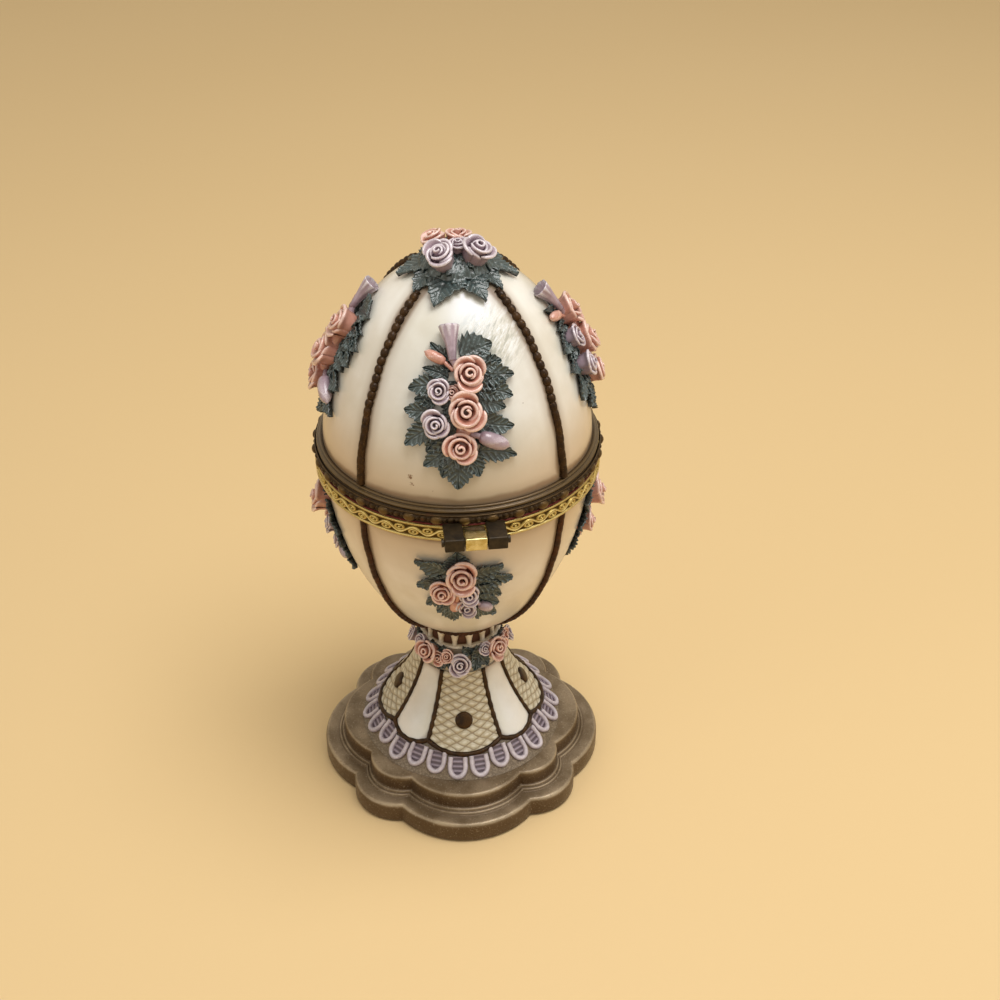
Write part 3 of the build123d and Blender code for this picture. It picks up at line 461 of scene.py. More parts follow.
# Lace border: a row of corded loops around the pedestal's foot, cast with it and painted lilac white.
# The field inside each loop is ribbed like braid and washed with lavender; the cords are painted paler on
# top and darker underneath, the ribs paler than the grooves, as painted highlight and shade.
LACE_LOOPS, LACE_TURN, LACE_LENGTH, LACE_CORD, LOOP_WIDTH = 26, -4.9, 5.1, 1.2, 5.3
LOOP_RISE, LOOP_SIDES, RIB_PITCH, RIB_WIDTH, FIELD_GRID = 0.34, 12, 0.92, 0.6, (46, 13)


def loop_place(turn, aside, radius):
    """Turn in radians and plan radius of points aside from a loop's own centre line."""
    return radians(turn) + np.arctan2(aside, radius), np.hypot(aside, radius)


def hand_painted(name, deep, body, pale_crown_and_highlight, rough=0.5, coat=0.15, size=2.0, shine=0.35):
    """Paint over a casting: a darker wash and painted shade in the hollows, a paler dry brush and painted
    highlight on the crowns.
    """
    material, place = finish(name, Coat_Weight=coat, Coat_Roughness=shine, Roughness=rough)
    cloud = grain(place, size, 4.0, 0.6)
    brush = grain(place, 0.3, 3.0, 0.7)
    raised = painted(material, "raised")
    # Darkest paint where raised is low, as painted shade; palest where it is high, as painted highlight.
    colour = lay(body, (ramp(ramp(raised, 0.5, 0.0) - cloud * 0.35, 0.0, 0.75), deep),
                 (ramp(raised + (brush - 0.5) * 0.6, 0.6, 1.05), pale_crown_and_highlight))
    coat_with(lay(colour, (ramp(cloud, 0.62, 0.35) * 0.28, deep)), None, brush, 0.035)
    return material


half = LOOP_WIDTH / 2 - LACE_CORD / 2
loop_parts, field_parts = [], []
for number in range(LACE_LOOPS):
    turn = LACE_TURN + 360 * number / LACE_LOOPS
    top = tongue_edge(turn) + 0.5
    bend = tongue_edge(turn) + LACE_LENGTH - LACE_CORD / 2 - half
    sweep = np.linspace(pi, 0, 17)
    leg = np.linspace(top, bend - 0.2, 12)
    aside = np.concatenate([-half * leg / bend, half * np.cos(sweep), half * leg[::-1] / bend])
    reach = np.concatenate([leg, bend + half * np.sin(sweep), leg[::-1]])
    waver = 0.66 + 0.03 * np.sin(np.arange(len(aside)) * 0.9 + number * 1.7)
    cord = flare_cord(*loop_place(turn, aside, reach), LOOP_RISE, waver, LOOP_SIDES)
    # Paint value 1 on top of each cord and 0 underneath: painted highlight above, painted shade below.
    crown = (np.sin(full_turn(LOOP_SIDES)) + 1) / 2
    loop_parts.append((*cord, np.tile(crown, len(aside))))
    side = np.linspace(-half, half, FIELD_GRID[1])
    low = bend + np.sqrt(np.clip(half**2 - side**2, 0, None))
    reach = top + (low[None, :] - top) * np.linspace(0, 1, FIELD_GRID[0])[:, None]
    # The ribs also carry the paint: paler on them and darker between them, as painted highlight and shade.
    rib = ridge(reach - top, RIB_PITCH, RIB_WIDTH)
    where = loop_place(turn, side * np.minimum(reach / bend, 1), reach)
    field_parts.append((on_flare(*where, 0.12 + 0.2 * rib), strip(*FIELD_GRID), rib))
lilac_white = hand_painted("lilac_white_braid", tint(104, 88, 94), tint(174, 160, 166), tint(204, 194, 198))
cast("lace_braid", loop_parts, lilac_white, "stand", "lilac_white", "lace_loops")
lavender = hand_painted("lavender_field", tint(80, 66, 74), tint(124, 109, 120), tint(158, 145, 155))
cast("lace_field", field_parts, lavender, "stand", "lavender", "lace_grounds")

# Neck collar: a plain ring between the pedestal and the bowl, seen as dark windows behind the posts.
# Dark umber paint, clouded paler.
umber, place = finish("dark_umber_paint", Coat_Weight=0.1)
cloud = grain(place, 2.0, 4.0)
coat_with(lay(tint(58, 28, 12), (cloud, tint(100, 58, 30))), 0.6, cloud)
dress("neck_collar", umber)

# Neck arcade: a lipped ring with a row of little posts that flare at the top, cast with the neck.
# Ivory paint, with a brown wash and painted shade at the posts' sides and round the lip, and painted
# highlight on the posts' faces and the lip's outer round.
COLLAR_FOOT, COLLAR_RADIUS, POSTS, POST_FOOT, POST_HEIGHT, POST_GRID = 43.5, 9.45, 16, 0.7, 4.9, (15, 11)
# Each row of the lip: radius, height, raised, which is high on the outer round for painted highlight and low
# above and below it for painted shade
LIP = [(9.5, 0.0, 0.1), (10.55, 0.02, 0.4), (10.9, 0.3, 0.9), (10.95, 0.62, 1.0), (10.7, 0.95, 0.9),
       (10.3, 1.08, 0.4), (9.5, 1.1, 0.0)]


def round_band(section, columns):
    """Points, faces and raised values of a band about the egg's axis; rows are radius, height, raised."""
    swing = full_turn(columns)
    points = np.concatenate([ring_points(swing, radius, height) for radius, height, _ in section])
    return points, strip(len(section), columns, True), np.repeat([row[2] for row in section], columns)


arcade_parts = [round_band([(radius, COLLAR_FOOT + height, raised) for radius, height, raised in LIP], 120)]
for number in range(POSTS):
    up, side = np.linspace(0, 1, POST_GRID[0])[:, None], np.linspace(-1, 1, POST_GRID[1])[None, :]
    half = 0.52 + 0.95 * up**1.3 + 0.3 * np.clip(1 - up * 4, 0, 1)
    bulge = 1.05 * np.sqrt(np.clip(1 - np.abs(side) ** 2.6, 0, 1)) * (1 - 0.18 * np.sin(up * pi))
    turn = 2 * pi * (number + 0.5) / POSTS + side * half / 10.0
    height = COLLAR_FOOT + POST_FOOT + (POST_HEIGHT - POST_FOOT) * up
    # The bulge is also the paint value: palest on each post's face, as painted highlight, and darkest at its
    # sides, as painted shade.
    arcade_parts.append((ring_points(turn, COLLAR_RADIUS + bulge, height), strip(*POST_GRID), bulge))
pillar = hand_painted("washed_and_shaded_ivory_posts", tint(110, 78, 48), tint(206, 190, 162), tint(232, 222, 202),
                      0.45, 0.25)
cast("neck_posts", arcade_parts, pillar, "stand", "ivory_resin", "neck_arcade")

# Neck rope: a twisted ring that hides the joint where the bowl sits on the neck.
# Cast with the bowl and brushed with the same russet bronze as the bowl's cords.
ROPE_RING, ROPE_HEIGHT, ROPE_RADIUS, ROPE_LAYS, ROPE_STEPS, ROPE_SIDES = 10.7, 49.35, 0.95, 26, 520, 16
swing, around = full_turn(ROPE_STEPS)[:, None], full_turn(ROPE_SIDES)[None, :]
twist = 0.5 + 0.5 * np.cos(2 * around - ROPE_LAYS * 2 * swing)
swell = ROPE_RADIUS * (0.8 + 0.22 * twist**0.6)
rope = ring_points(swing, ROPE_RING + swell * np.cos(around), ROPE_HEIGHT + swell * np.sin(around))
rope_points = ROPE_STEPS * ROPE_SIDES
rope_faces = [tuple(corner % rope_points for corner in face[::-1])
              for face in strip(ROPE_STEPS + 1, ROPE_SIDES, True)]
russet = bronze_brush("russet_cord_paint", tint(42, 19, 7), tint(74, 40, 16), tint(114, 72, 32))
piece("neck_twist", rope, rope_faces, russet, "stand", "bronze_paint", "neck_rope")

# Roses, buds and leaves: the maker's stock of hand-rolled flowers, used on the garland, the panels and
# the crown. Each is cast in resin from a clay original, painted by hand, and bedded on the shell with glue.
# A rose's rings of petals: count, rim, waist, foot, height, half angle, roll, thickness
PETAL_RINGS = ((5, 0.8, 0.58, -0.3, 1.0, radians(54), 0.16, 0.25),
               (2, 0.55, 0.38, 0.0, 1.16, radians(112), 0.1, 0.2))
ROSE_CORE = [(0.52, -0.4), (0.66, 0.0), (0.66, 0.5), (0.5, 0.66), (0.25, 0.74), (0.02, 0.76)]


def rolled_sheet(angle, reach, lift, half):
    """A thick petal with a round rim, standing about the z axis.

    Its middle is given by plan angles, one for each column, with radii and heights from foot to rim.
    """
    along_r, along_z = np.gradient(reach, axis=0), np.gradient(lift, axis=0)
    size = np.maximum(np.hypot(along_r, along_z), 1e-9)
    along_r, along_z = along_r / size, along_z / size
    rows_r, rows_z = [reach + along_z * half], [lift - along_r * half]
    for tip in np.radians([60, 30, 0, -30, -60]):
        ahead, out = cos(tip), sin(tip)
        rows_r.append((reach[-1] + half * (ahead * along_r[-1] + out * along_z[-1]))[None, :])
        rows_z.append((lift[-1] + half * (ahead * along_z[-1] - out * along_r[-1]))[None, :])
    rows_r.append((reach - along_z * half)[::-1])
    rows_z.append((lift + along_r * half)[::-1])
    radius, height = np.concatenate(rows_r), np.concatenate(rows_z)
    grid = np.stack([radius * np.cos(angle), radius * np.sin(angle), height], axis=2)
    climb = np.linspace(0, 1, len(reach))
    rim = [0.85, 1.0, 1.0, 0.95, 0.85]
    # raised: low at each petal's foot and down its inner face, for painted shade in the cup, and high on the
    # rolled rim, for painted highlight.
    raised = np.concatenate([0.3 + 0.4 * climb**2, rim, (0.72 * climb**1.8)[::-1]])
    return grid.reshape(-1, 3), strip(*grid.shape[:2]), np.repeat(raised, len(angle))


def rose(radius, spin, seed):
    """One open rose about its own z axis: a cup of thick outer petals, an inner ring and a coiled heart."""
    parts = []
    side = np.linspace(-1, 1, 15)
    up = np.linspace(0, 1, 9)[:, None]
    for ring, (count, rim, waist, low, high, half, roll, thick) in enumerate(PETAL_RINGS):
        for petal in range(count):
            vary = sin(seed * 2.3 + petal * 2.4 + ring)
            angle = spin + ring * 0.7 + 2 * pi * (petal + 0.22 * vary) / count + half * side
            curl = np.clip((up - 0.62) / 0.38, 0, 1) ** 1.5 * (1 - 0.6 * side**2) * (1 + 0.7 * vary)
            spread = 1 + 0.1 * side - 0.06 * side**2 + 0.09 * vary
            reach = (waist + (rim - waist) * np.sin(up * pi / 2) ** 0.65) * spread + roll * curl
            tall = high * (1 - 0.24 * np.abs(side) ** 2.5 + 0.15 * vary)
            lift = low + (tall - low) * up - 0.4 * roll * curl**1.4
            thickness = thick / 2 * (0.3 + 0.7 * np.sqrt(1 - side**4))
            parts.append(rolled_sheet(angle, reach * radius, lift * radius, thickness * radius))
    turns = np.linspace(0, 2 * pi * 1.2, 40)
    share = turns / turns[-1]
    coil = 0.3 - 0.2 * share + 0.04 * up
    height = 0.1 + (1.06 + 0.16 * share) * up
    thickness = 0.085 * np.clip(np.minimum(share, 1 - share) * 14, 0.3, 1)
    parts.append(rolled_sheet(spin + 0.4 + turns, coil * radius, height * radius, thickness * radius))
    core, faces = turned(ROSE_CORE, 24)
    # The heart's core keeps 0, the darkest paint, as painted shade deep in the rose.
    parts.append((core * radius, faces, np.zeros(len(core))))
    return gather(parts)


def bud(length, radius, open_tip):
    """One bud along its own x axis: a smooth wrapped bud, or a trumpet pleated towards its open mouth."""
    rows, sides = 26, 42
    along, around = np.linspace(0, 1, rows)[:, None], full_turn(sides)[None, :]
    if open_tip:
        pleat = np.abs(np.cos(around * 4)) * np.clip(along * 1.6 - 0.4, 0, 1)
        girth = 0.4 + 0.6 * along**1.5 + 0.14 * (pleat - 0.5) * np.clip(along * 2 - 0.4, 0, 1)
        # Paler on the pleats' ridges and the mouth's lip, as painted highlight.
        raised = np.clip(0.25 + 0.75 * pleat + 0.3 * (along > 0.93), 0, 1)
    else:
        wrap = ((around / (2 * pi)) * 2 + along * 0.9) % 1
        outline = np.sqrt(np.clip(1 - np.abs(2 * along**0.9 - 0.95) ** 2.6, 0.03, 1))
        girth = outline * (0.95 + 0.07 * wrap)
        raised = np.clip(0.4 + 0.25 * wrap + 0.25 * along, 0, 1)
    across, above = girth * radius * np.cos(around), girth * radius * np.sin(around)
    grid = np.stack([along * length + 0 * around, across, above], axis=2)
    ends = [[length * (0.72 if open_tip else 1.0), 0, 0], [0, 0, 0]]
    faces = strip(rows, sides, True)
    last = (rows - 1) * sides
    faces += [(last + k, last + (k + 1) % sides, rows * sides) for k in range(sides)]
    faces += [((k + 1) % sides, k, rows * sides + 1) for k in range(sides)]
    # The cap at the tip end takes 0, the darkest paint, for painted shade inside a trumpet's mouth.
    return np.concatenate([grid.reshape(-1, 3), ends]), faces, np.concatenate([raised.ravel(), [0.0, 0.2]])


def stalk(foot, tip, out, girth):
    """A thin bare stalk from foot to tip, with the direction straight out of the shell."""
    path = foot + (tip - foot) * np.linspace(0, 1, 12)[:, None]
    points, faces = tube(path, np.broadcast_to(out, path.shape), girth, 8)
    return points, faces, np.full(len(points), 0.45)


def leaf(surface, base, tip, width, lift, seed, teeth, bend=0.0):
    """One toothed rose leaf laid on a surface, its tip lifted, with a sunk midrib and raised veins."""
    rows, columns = 53, 19
    share = np.linspace(0, 1, rows)[:, None]
    side = np.linspace(-1, 1, columns)[None, :]
    base, tip = np.array(base, dtype=float), np.array(tip, dtype=float)
    length = np.linalg.norm(tip - base)
    ahead = (tip - base) / length
    beside = np.array([-ahead[1], ahead[0]])
    swell = share**0.5 * (1 - share) ** 0.95
    swell = swell / swell.max()
    tooth = (share * teeth + 0.25 + 0.1 * np.sin(seed)) % 1
    half = width / 2 * np.maximum(swell * (0.84 + 0.32 * tooth), 0.03)
    sway = bend * np.sin(share * pi) * length
    flat = base + ahead * (share * length)[..., None] + beside * (side * half + sway)[..., None]
    off = np.abs(side) * half
    rib = np.clip(1 - np.abs(off - 0.26) / 0.2, 0, 1) - 0.8 * np.clip(1 - off / 0.16, 0, 1)
    vein = ridge(share * length - 0.95 * off + 0.1 * seed, 1.35, 0.75) * np.clip((off - 0.3) / 0.25, 0, 1)
    relief = np.where(off < 0.46, rib, vein)
    hem = np.clip((np.abs(side) - 0.78) / 0.22, 0, 1)
    cup = 0.5 * side**2 * swell - 0.28 * (1 - np.abs(side)) * swell
    wave = 0.2 * np.sin(share * 11 + seed) * side * np.abs(side)
    top = np.maximum(0.5 + 0.3 * relief + 0.22 * hem * tooth + lift * share**1.5 + cup + wave, 0.2)
    under = np.maximum(top - 0.5 - 0.2 * (1 - np.abs(side)), -0.1)
    sheets = [surface(flat[..., 0], flat[..., 1], rise) for rise in (top, under)]
    # raised: high beside the sunk midrib, on the veins and on the teeth, for painted highlight; the sunk
    # midrib stays low and the underside takes 0.1, for painted shade.
    raised = np.clip(np.maximum(0.95 * relief, 0.75 * hem * (0.35 + 0.65 * tooth)), 0, 1)
    raised = np.maximum(raised, 0.14 + 0.2 * share).ravel()
    lower, last = rows * columns, (rows - 1) * columns
    faces = [face[::-1] for face in strip(rows, columns)] + strip(rows, columns, first=lower)
    rim = [*range(columns), *range(2 * columns - 1, lower, columns)]
    rim += [*range(lower - 2, last - 1, -1), *range(last - columns, 0, -columns)]
    faces += [(here, beyond, beyond + lower, here + lower) for here, beyond in zip(rim, rim[1:] + rim[:1])]
    return np.concatenate(sheets).reshape(-1, 3), faces, np.concatenate([raised, np.full(lower, 0.1)])


rose_pink = hand_painted("salmon_rose_paint", tint(124, 63, 48), tint(205, 147, 128), tint(238, 206, 193),
                         0.26, 0.7, 3.0, 0.14)
rose_lilac = hand_painted("dusty_lilac_paint", tint(88, 68, 78), tint(170, 148, 158), tint(224, 213, 218),
                          0.26, 0.7, 3.0, 0.14)
leaf_green = hand_painted("slate_green_paint", tint(24, 30, 28), tint(60, 74, 73), tint(122, 138, 139),
                          0.3, 0.5, 4.0, 0.18)

# Garland: a wreath of four pink and four lilac roses around the neck, with smaller ones and leaves between.
# It hides the joint between the pedestal and the collar.
# Each leaf: its base and tip as places along and up the neck, width, lift of the tip
WREATH_LEAVES = (((0.4, -3.8), (-0.6, 1.4), 4.0, 0.9), ((0.2, -2.4), (-1.6, -6.8), 3.4, 0.8),
                 ((0.4, -2.8), (2.4, -6.4), 3.2, 0.8), ((-2.0, -2.0), (-4.2, 1.6), 3.0, 0.6))


def neck_radius(up):
    """Plan radius of the pedestal at a height from the neck's top."""
    return FLARE_R - np.sqrt(FLARE**2 - (NECK_TOP + up - FLARE_Z) ** 2)


def neck_surface(turn):
    """Surface for leaves on the neck: across is along the ring, up is the height from the neck's top."""
    def surface(across, up, rise):
        radius = neck_radius(np.minimum(up, 0))
        points = on_flare(radians(turn) + across / 11.0, radius, rise + 0.7 * np.clip(up, 0, 1))
        points[..., 2] += np.maximum(up, 0)
        return points
    return surface


def wreath_rose(turn, drop, size, spin):
    """One rose on the neck, at a turn in degrees and a drop below the neck's top."""
    points, faces, raised = rose(size, spin, spin)
    turn, radius = radians(turn), neck_radius(-drop)
    out = flare_normal(turn, radius) + np.array([0, 0, 0.3])
    along_ring = np.array([cos(turn), sin(turn), 0])
    return set_on(points, on_flare(turn, radius, 0.9), along_ring, out), faces, raised


def set_cluster(name, node, body, green, pink, lilac):
    """Makes the three pieces of a cluster: its leaves, its pink roses and its lilac roses."""
    cast(f"{name}_leafage", green, leaf_green, body, "leaf_green", f"{node}_leaves")
    cast(f"{name}_roses_pink", pink, rose_pink, body, "rose_pink", f"{node}_pink_roses")
    cast(f"{name}_roses_lilac", lilac, rose_lilac, body, "rose_lilac", f"{node}_lilac_roses")


green, pink, lilac = [], [], []
for number in range(8):
    turn = 45 * number
    if number % 2:
        pink.append(wreath_rose(turn, 2.0, 2.9, number * 1.3))
        pink.append(wreath_rose(turn + 15, 3.1, 1.9, number * 2.1))
        lilac.append(wreath_rose(turn - 16, 0.6, 1.7, number * 0.7))
    else:
        lilac.append(wreath_rose(turn - 3, 4.2, 2.8 if number % 4 == 0 else 2.0, number * 1.3))
        pink.append(wreath_rose(turn - 19, 1.9, 1.8, number * 1.9))
    for base, tip, width, lift in WREATH_LEAVES:
        green.append(leaf(neck_surface(turn + 22.5), base, tip, width, lift, number, 5))
set_cluster("garland", "garland", "stand", green, pink, lilac)

# Bowl shell: the lower half egg, cast thin with a spigot, open at the top.
# Pearl lacquer inside and out, tan towards the rim as painted shade and a painted reflection of the floor,
# with a brown wash and painted shade along the cords and the rim.
PARTING, EGG_RADIUS, LID_RISE, BOWL_DROP = 101.728, 33.0, 49.5, 54.7


def shell_finish(name, mouth, sign, reach):
    """Pearl lacquer, tan towards the rim as painted shade and floor reflection, with a brown wash and
    painted shade beside the four cords and along the rim at mouth millimetres.
    """
    material, place, white, cloud, silk = pearl_coat(name)
    far = vector("ABSOLUTE", place)
    aside = wire(material, "SeparateXYZ", far, out=0) - wire(material, "SeparateXYZ", far, out=1)
    beside_cord = wire(material, "Math", aside, operation="ABSOLUTE") * 707.0
    above_rim = (wire(material, "SeparateXYZ", place, out=2) - mouth * 0.001) * (1000.0 * sign)
    patch = (cloud - 0.5) * 3.0
    from_rim = wire(material, "Math", above_rim, 0.0, operation="MAXIMUM")
    nearest = wire(material, "Math", beside_cord, from_rim, operation="MINIMUM")
    from_middle = vector("SUBTRACT", place, (0, 0, PARTING * 0.001))
    spans = (1000 / EGG_RADIUS, 1000 / EGG_RADIUS, 1000 / reach)
    outside = ramp(vector("LENGTH", vector("MULTIPLY", from_middle, spans)), 0.97, 0.99)
    inside = wire(material, "Math", 1.0, outside, operation="SUBTRACT") * 30.0
    patchy = nearest + patch + inside
    colour = lay(
        white,
        # Tan within 21 mm of the rim: painted shade and a painted reflection of the sand floor.
        (ramp(above_rim + patch * 2.0, 21.0, 0.0) * 0.7, tint(194, 168, 126)),
        # Browner beside the cords and along the rim: a brown wash and painted shade.
        (ramp(patchy, 4.4, 0.9) * 0.5, tint(162, 142, 112)),
        (ramp(patchy, 2.2, 1.0) * 0.7, tint(112, 84, 50)),
    )
    return material, place, colour, outside, silk


bowl_pearl, _, colour, _, silk = shell_finish("bowl_pearl_lacquer", PARTING - 4.4, -1, BOWL_DROP)
coat_with(colour, 0.26, silk, 0.006)
dress("bowl_shell", bowl_pearl)

# Bowl cords: four raised cords that run from the rim down to the rope and part the bowl into panels.
# Modelled on the shell by hand, so they waver, and brushed with russet bronze.
CORD_TURNS, BEAD_PITCH = (45, 135, 225, 315), 2.0


def on_egg(turn, height, rise, reach):
    """Points on half the egg at turns in radians and heights from its widest line, lifted by rise."""
    turn, height, rise = np.broadcast_arrays(turn, height, rise)
    radius = EGG_RADIUS * np.sqrt(np.clip(1 - (height / reach) ** 2, 0, 1))
    out_r, out_z = radius / EGG_RADIUS**2, height / reach**2
    size = np.hypot(out_r, out_z)
    return ring_points(turn, radius + rise * out_r / size, PARTING + height + rise * out_z / size)


def panel_cord(turn, low, high, reach, girth, bead):
    """One cord up the egg between two heights; girth and bead give its radius and its beads' swelling."""
    height = np.linspace(low, high, 420)
    steps = np.linalg.norm(np.diff(on_egg(0, height, 0, reach), axis=0), axis=1)
    run = np.concatenate([[0], np.cumsum(steps)])
    weave = radians(turn) + 0.12 * np.sin(run * 0.55 + turn) / EGG_RADIUS
    path = on_egg(weave, height, CORD_RISE, reach)
    out = on_egg(weave, height, CORD_RISE + 1, reach) - path
    swell = np.abs(np.cos(pi * run / BEAD_PITCH)) ** 0.55 - 0.62
    share = run / run[-1]
    radius = girth(share) * (1 + bead(share) * swell + 0.04 * np.sin(run * 1.3 + turn))
    return tube(path, out, radius, 12)


cords = [panel_cord(turn, -4.55, -50.6, BOWL_DROP, lambda t: 0.78 - 0.06 * t, lambda t: 0.06 + 0.16 * t)
         for turn in CORD_TURNS]
cast("bowl_dividing_cords", cords, russet, "stand", "bronze_paint", "bowl_cords")

# Bowl sprays: a sprig of leaves with two pink roses, two lilac ones and two buds on each panel.
# All four panels carry the same casting.
BOWL_SPRAY = 23.4


def panel_surface(distance, reach):
    """Lays points given across and up in a panel's plane onto the egg, lifted by rise."""
    radius = EGG_RADIUS * sqrt(1 - (distance / reach) ** 2)
    origin, across = np.array([0, -radius, PARTING + distance]), np.array([1.0, 0, 0])
    out = unit(np.array([0, -radius / EGG_RADIUS**2, distance / reach**2]))
    up = np.cross(out, across)
    scale = np.array([1 / EGG_RADIUS, 1 / EGG_RADIUS, 1 / reach])
    axis = np.array([0, 0, PARTING])

    def surface(u, v, rise):
        u, v, rise = np.broadcast_arrays(np.asarray(u, dtype=float), v, rise)
        start = (origin - axis + u[..., None] * across + v[..., None] * up) * scale
        line = out * scale
        a, b, c = np.dot(line, line), start @ line, np.sum(start * start, axis=-1) - 1
        step = (-b + np.sqrt(np.maximum(b * b - a * c, 0))) / a
        foot = (start + step[..., None] * line) / scale
        return foot + axis + unit(foot * scale**2) * rise[..., None]
    return surface


def sprig_on_panel(distance, reach, leaves, pink, lilac, pink_buds, lilac_buds):
    """One spray's leaves, pink flowers and lilac flowers, each as points, faces and raised values.

    A leaf has a base, a tip, a width and a lift; a rose a place and a radius; a bud the foot of its stalk,
    its two ends, a radius and whether its tip is open.
    """
    surface = panel_surface(distance, reach)
    green, pinks, lilacs = [], [], []
    for number, (base, tip, width, lift) in enumerate(leaves):
        teeth, bend = 6 if width > 3 else 4, 0.05 * (-1) ** number
        green.append(leaf(surface, base, tip, width, 0.75 * lift, number * 1.9, teeth, bend))
    for lot, roses, buds in ((pinks, pink, pink_buds), (lilacs, lilac, lilac_buds)):
        for number, (u, v, radius) in enumerate(roses):
            points, faces, raised = rose(radius, 0.8 + number * 1.7 + radius, number + radius)
            foot, top = surface(u, v, 0.5), surface(u, v, 1.5)
            lean = np.array([0, 0, 0.4 if distance < 0 else 0.05])
            lot.append((set_on(points, foot, np.array([1.0, 0, 0]), top - foot + lean), faces, raised))
        for stem, start, end, radius, open_tip in buds:
            start, end, rise = np.array(start), np.array(end), radius * 0.75 + 0.4
            length = np.linalg.norm(end - start)
            aim = (end - start) / length
            points, faces, raised = bud(length, radius, open_tip)
            flat = start + points[:, :1] * aim + points[:, 1:2] * np.array([-aim[1], aim[0]])
            lot.append((surface(flat[:, 0], flat[:, 1], points[:, 2] + rise), faces, raised))
            foot, tip = surface(*stem, 1.4), surface(*(start + 0.4 * aim), rise)
            lot.append(stalk(foot, tip, surface(*start, 9.0) - surface(*start, 0.0), 0.4 * radius))
    return green, pinks, lilacs


def set_sprays(part, body, sprig):
    """Puts the same spray on all four panels of the lid or the bowl, by quarter turns."""
    finishes = (("leaves", leaf_green, "leaf_green"), ("pink_roses", rose_pink, "rose_pink"),
                ("lilac_roses", rose_lilac, "rose_lilac"))
    for (kind, paint, slot), parts in zip(finishes, sprig):
        points, faces, raised = gather(parts)
        for quarter, side in enumerate(("front", "right", "back", "left")):
            c, s = cos(pi / 2 * quarter), sin(pi / 2 * quarter)
            swung = points @ np.array([[c, s, 0], [-s, c, 0], [0, 0, 1]])
            piece(f"{part}_spray_{kind}_{side}", swung, faces, paint, body, slot, f"{part}_{kind}_{side}",
                  raised=raised)


set_sprays("bowl", "stand", sprig_on_panel(
    -BOWL_SPRAY, BOWL_DROP,
    leaves=[
        ((-1.1, 8.6), (-1.7, 15.4), 6.4, 1.0), ((-3.4, 7.2), (-11.4, 11.0), 5.0, 1.1),
        ((-4.2, 5.4), (-11.0, 3.0), 5.2, 1.1), ((1.6, 7.0), (8.8, 9.7), 5.0, 1.1),
        ((4.2, 4.4), (11.1, 4.6), 4.6, 1.2), ((2.4, 4.4), (8.5, 3.0), 4.4, 0.7),
        ((2.6, 2.2), (8.6, -1.2), 5.0, 1.0), ((1.6, -3.6), (7.6, -9.2), 5.2, 1.0),
        ((-4.8, -1.0), (-9.0, -4.4), 4.4, 0.9), ((-2.4, -4.2), (-2.8, -11.0), 5.2, 1.0),
        ((0.6, -5.2), (3.6, -10.8), 4.4, 0.7), ((3.0, -0.6), (8.2, -5.0), 4.4, 0.8),
        ((-3.0, -3.0), (-6.6, -7.4), 3.8, 0.6),
    ],
    pink=[(-0.8, 8.0, 3.8), (-5.0, 2.0, 2.9)],
    lilac=[(0.9, 1.2, 2.5), (0.4, -4.2, 2.3)],
    pink_buds=[((-1.4, 1.4), (-1.7, -1.6), (-2.6, -5.8), 1.3, False)],
    lilac_buds=[((1.0, -0.6), (3.4, -3.4), (6.4, -6.4), 1.3, False)],
))

# Bowl rim: a band of thin brass, pressed with a running scroll between two plain edges and gilt.
# It is rolled over the shell's mouth and carries the lip that centres the lid.
RIM_RADIUS, BOWL_RIM_TOP, BOWL_RIM_BOTTOM = 35.0, PARTING - 0.125, PARTING - 4.325
BAND_BACK, SHELL_SEAT, LIP_OUT, LIP_IN, LIP_TOP = 34.4, 33.05, 29.6, 28.8, BOWL_RIM_TOP + 2.0
SCROLLS, SCROLL_SWING = 32, 0.85


def off_centre(run, pitch, shift):
    """How far places along a band are from the nearest of the centres that stand a pitch apart."""
    return (((run - shift) / pitch + 0.5) % 1 - 0.5) * pitch


def bead_at(run, up, pitch, shift, level, wide, tall):
    """Round bosses in a row: run and up are distances along and up the band, in millimetres."""
    away = off_centre(run, pitch, shift)
    return np.sqrt(np.clip(1 - (away / wide) ** 2 - ((up - level) / tall) ** 2, 0, 1))


def ring_at(run, up, pitch, shift, level, wide, tall, wire_width):
    """Oval rings in a row, of wire that is half round."""
    away = off_centre(run, pitch, shift)
    from_oval = np.abs(np.hypot(away / wide, (up - level) / tall) - 1) * min(wide, tall)
    return np.sqrt(np.clip(1 - (from_oval / wire_width) ** 2, 0, 1))


def scroll_relief(run, up):
    """Relief of the running scroll with ovals in its bends, from 0 in the ground to 1 on the crowns."""
    pitch = 2 * pi * RIM_RADIUS / SCROLLS
    swing = 2 * pi * run / pitch
    wave = SCROLL_SWING * np.sin(swing)
    slope = SCROLL_SWING * 2 * pi / pitch * np.cos(swing)
    relief = np.sqrt(np.clip(1 - (np.abs(up - wave) / np.sqrt(1 + slope**2) / 0.3) ** 2, 0, 1))
    for shift, level in ((pitch / 4, -0.35), (3 * pitch / 4, 0.35)):
        relief = np.maximum(relief, 0.9 * ring_at(run, up, pitch, shift, level, 1.0, 0.62, 0.24))
        relief = np.maximum(relief, bead_at(run, up, pitch, shift, level, 0.46, 0.3))
    return relief


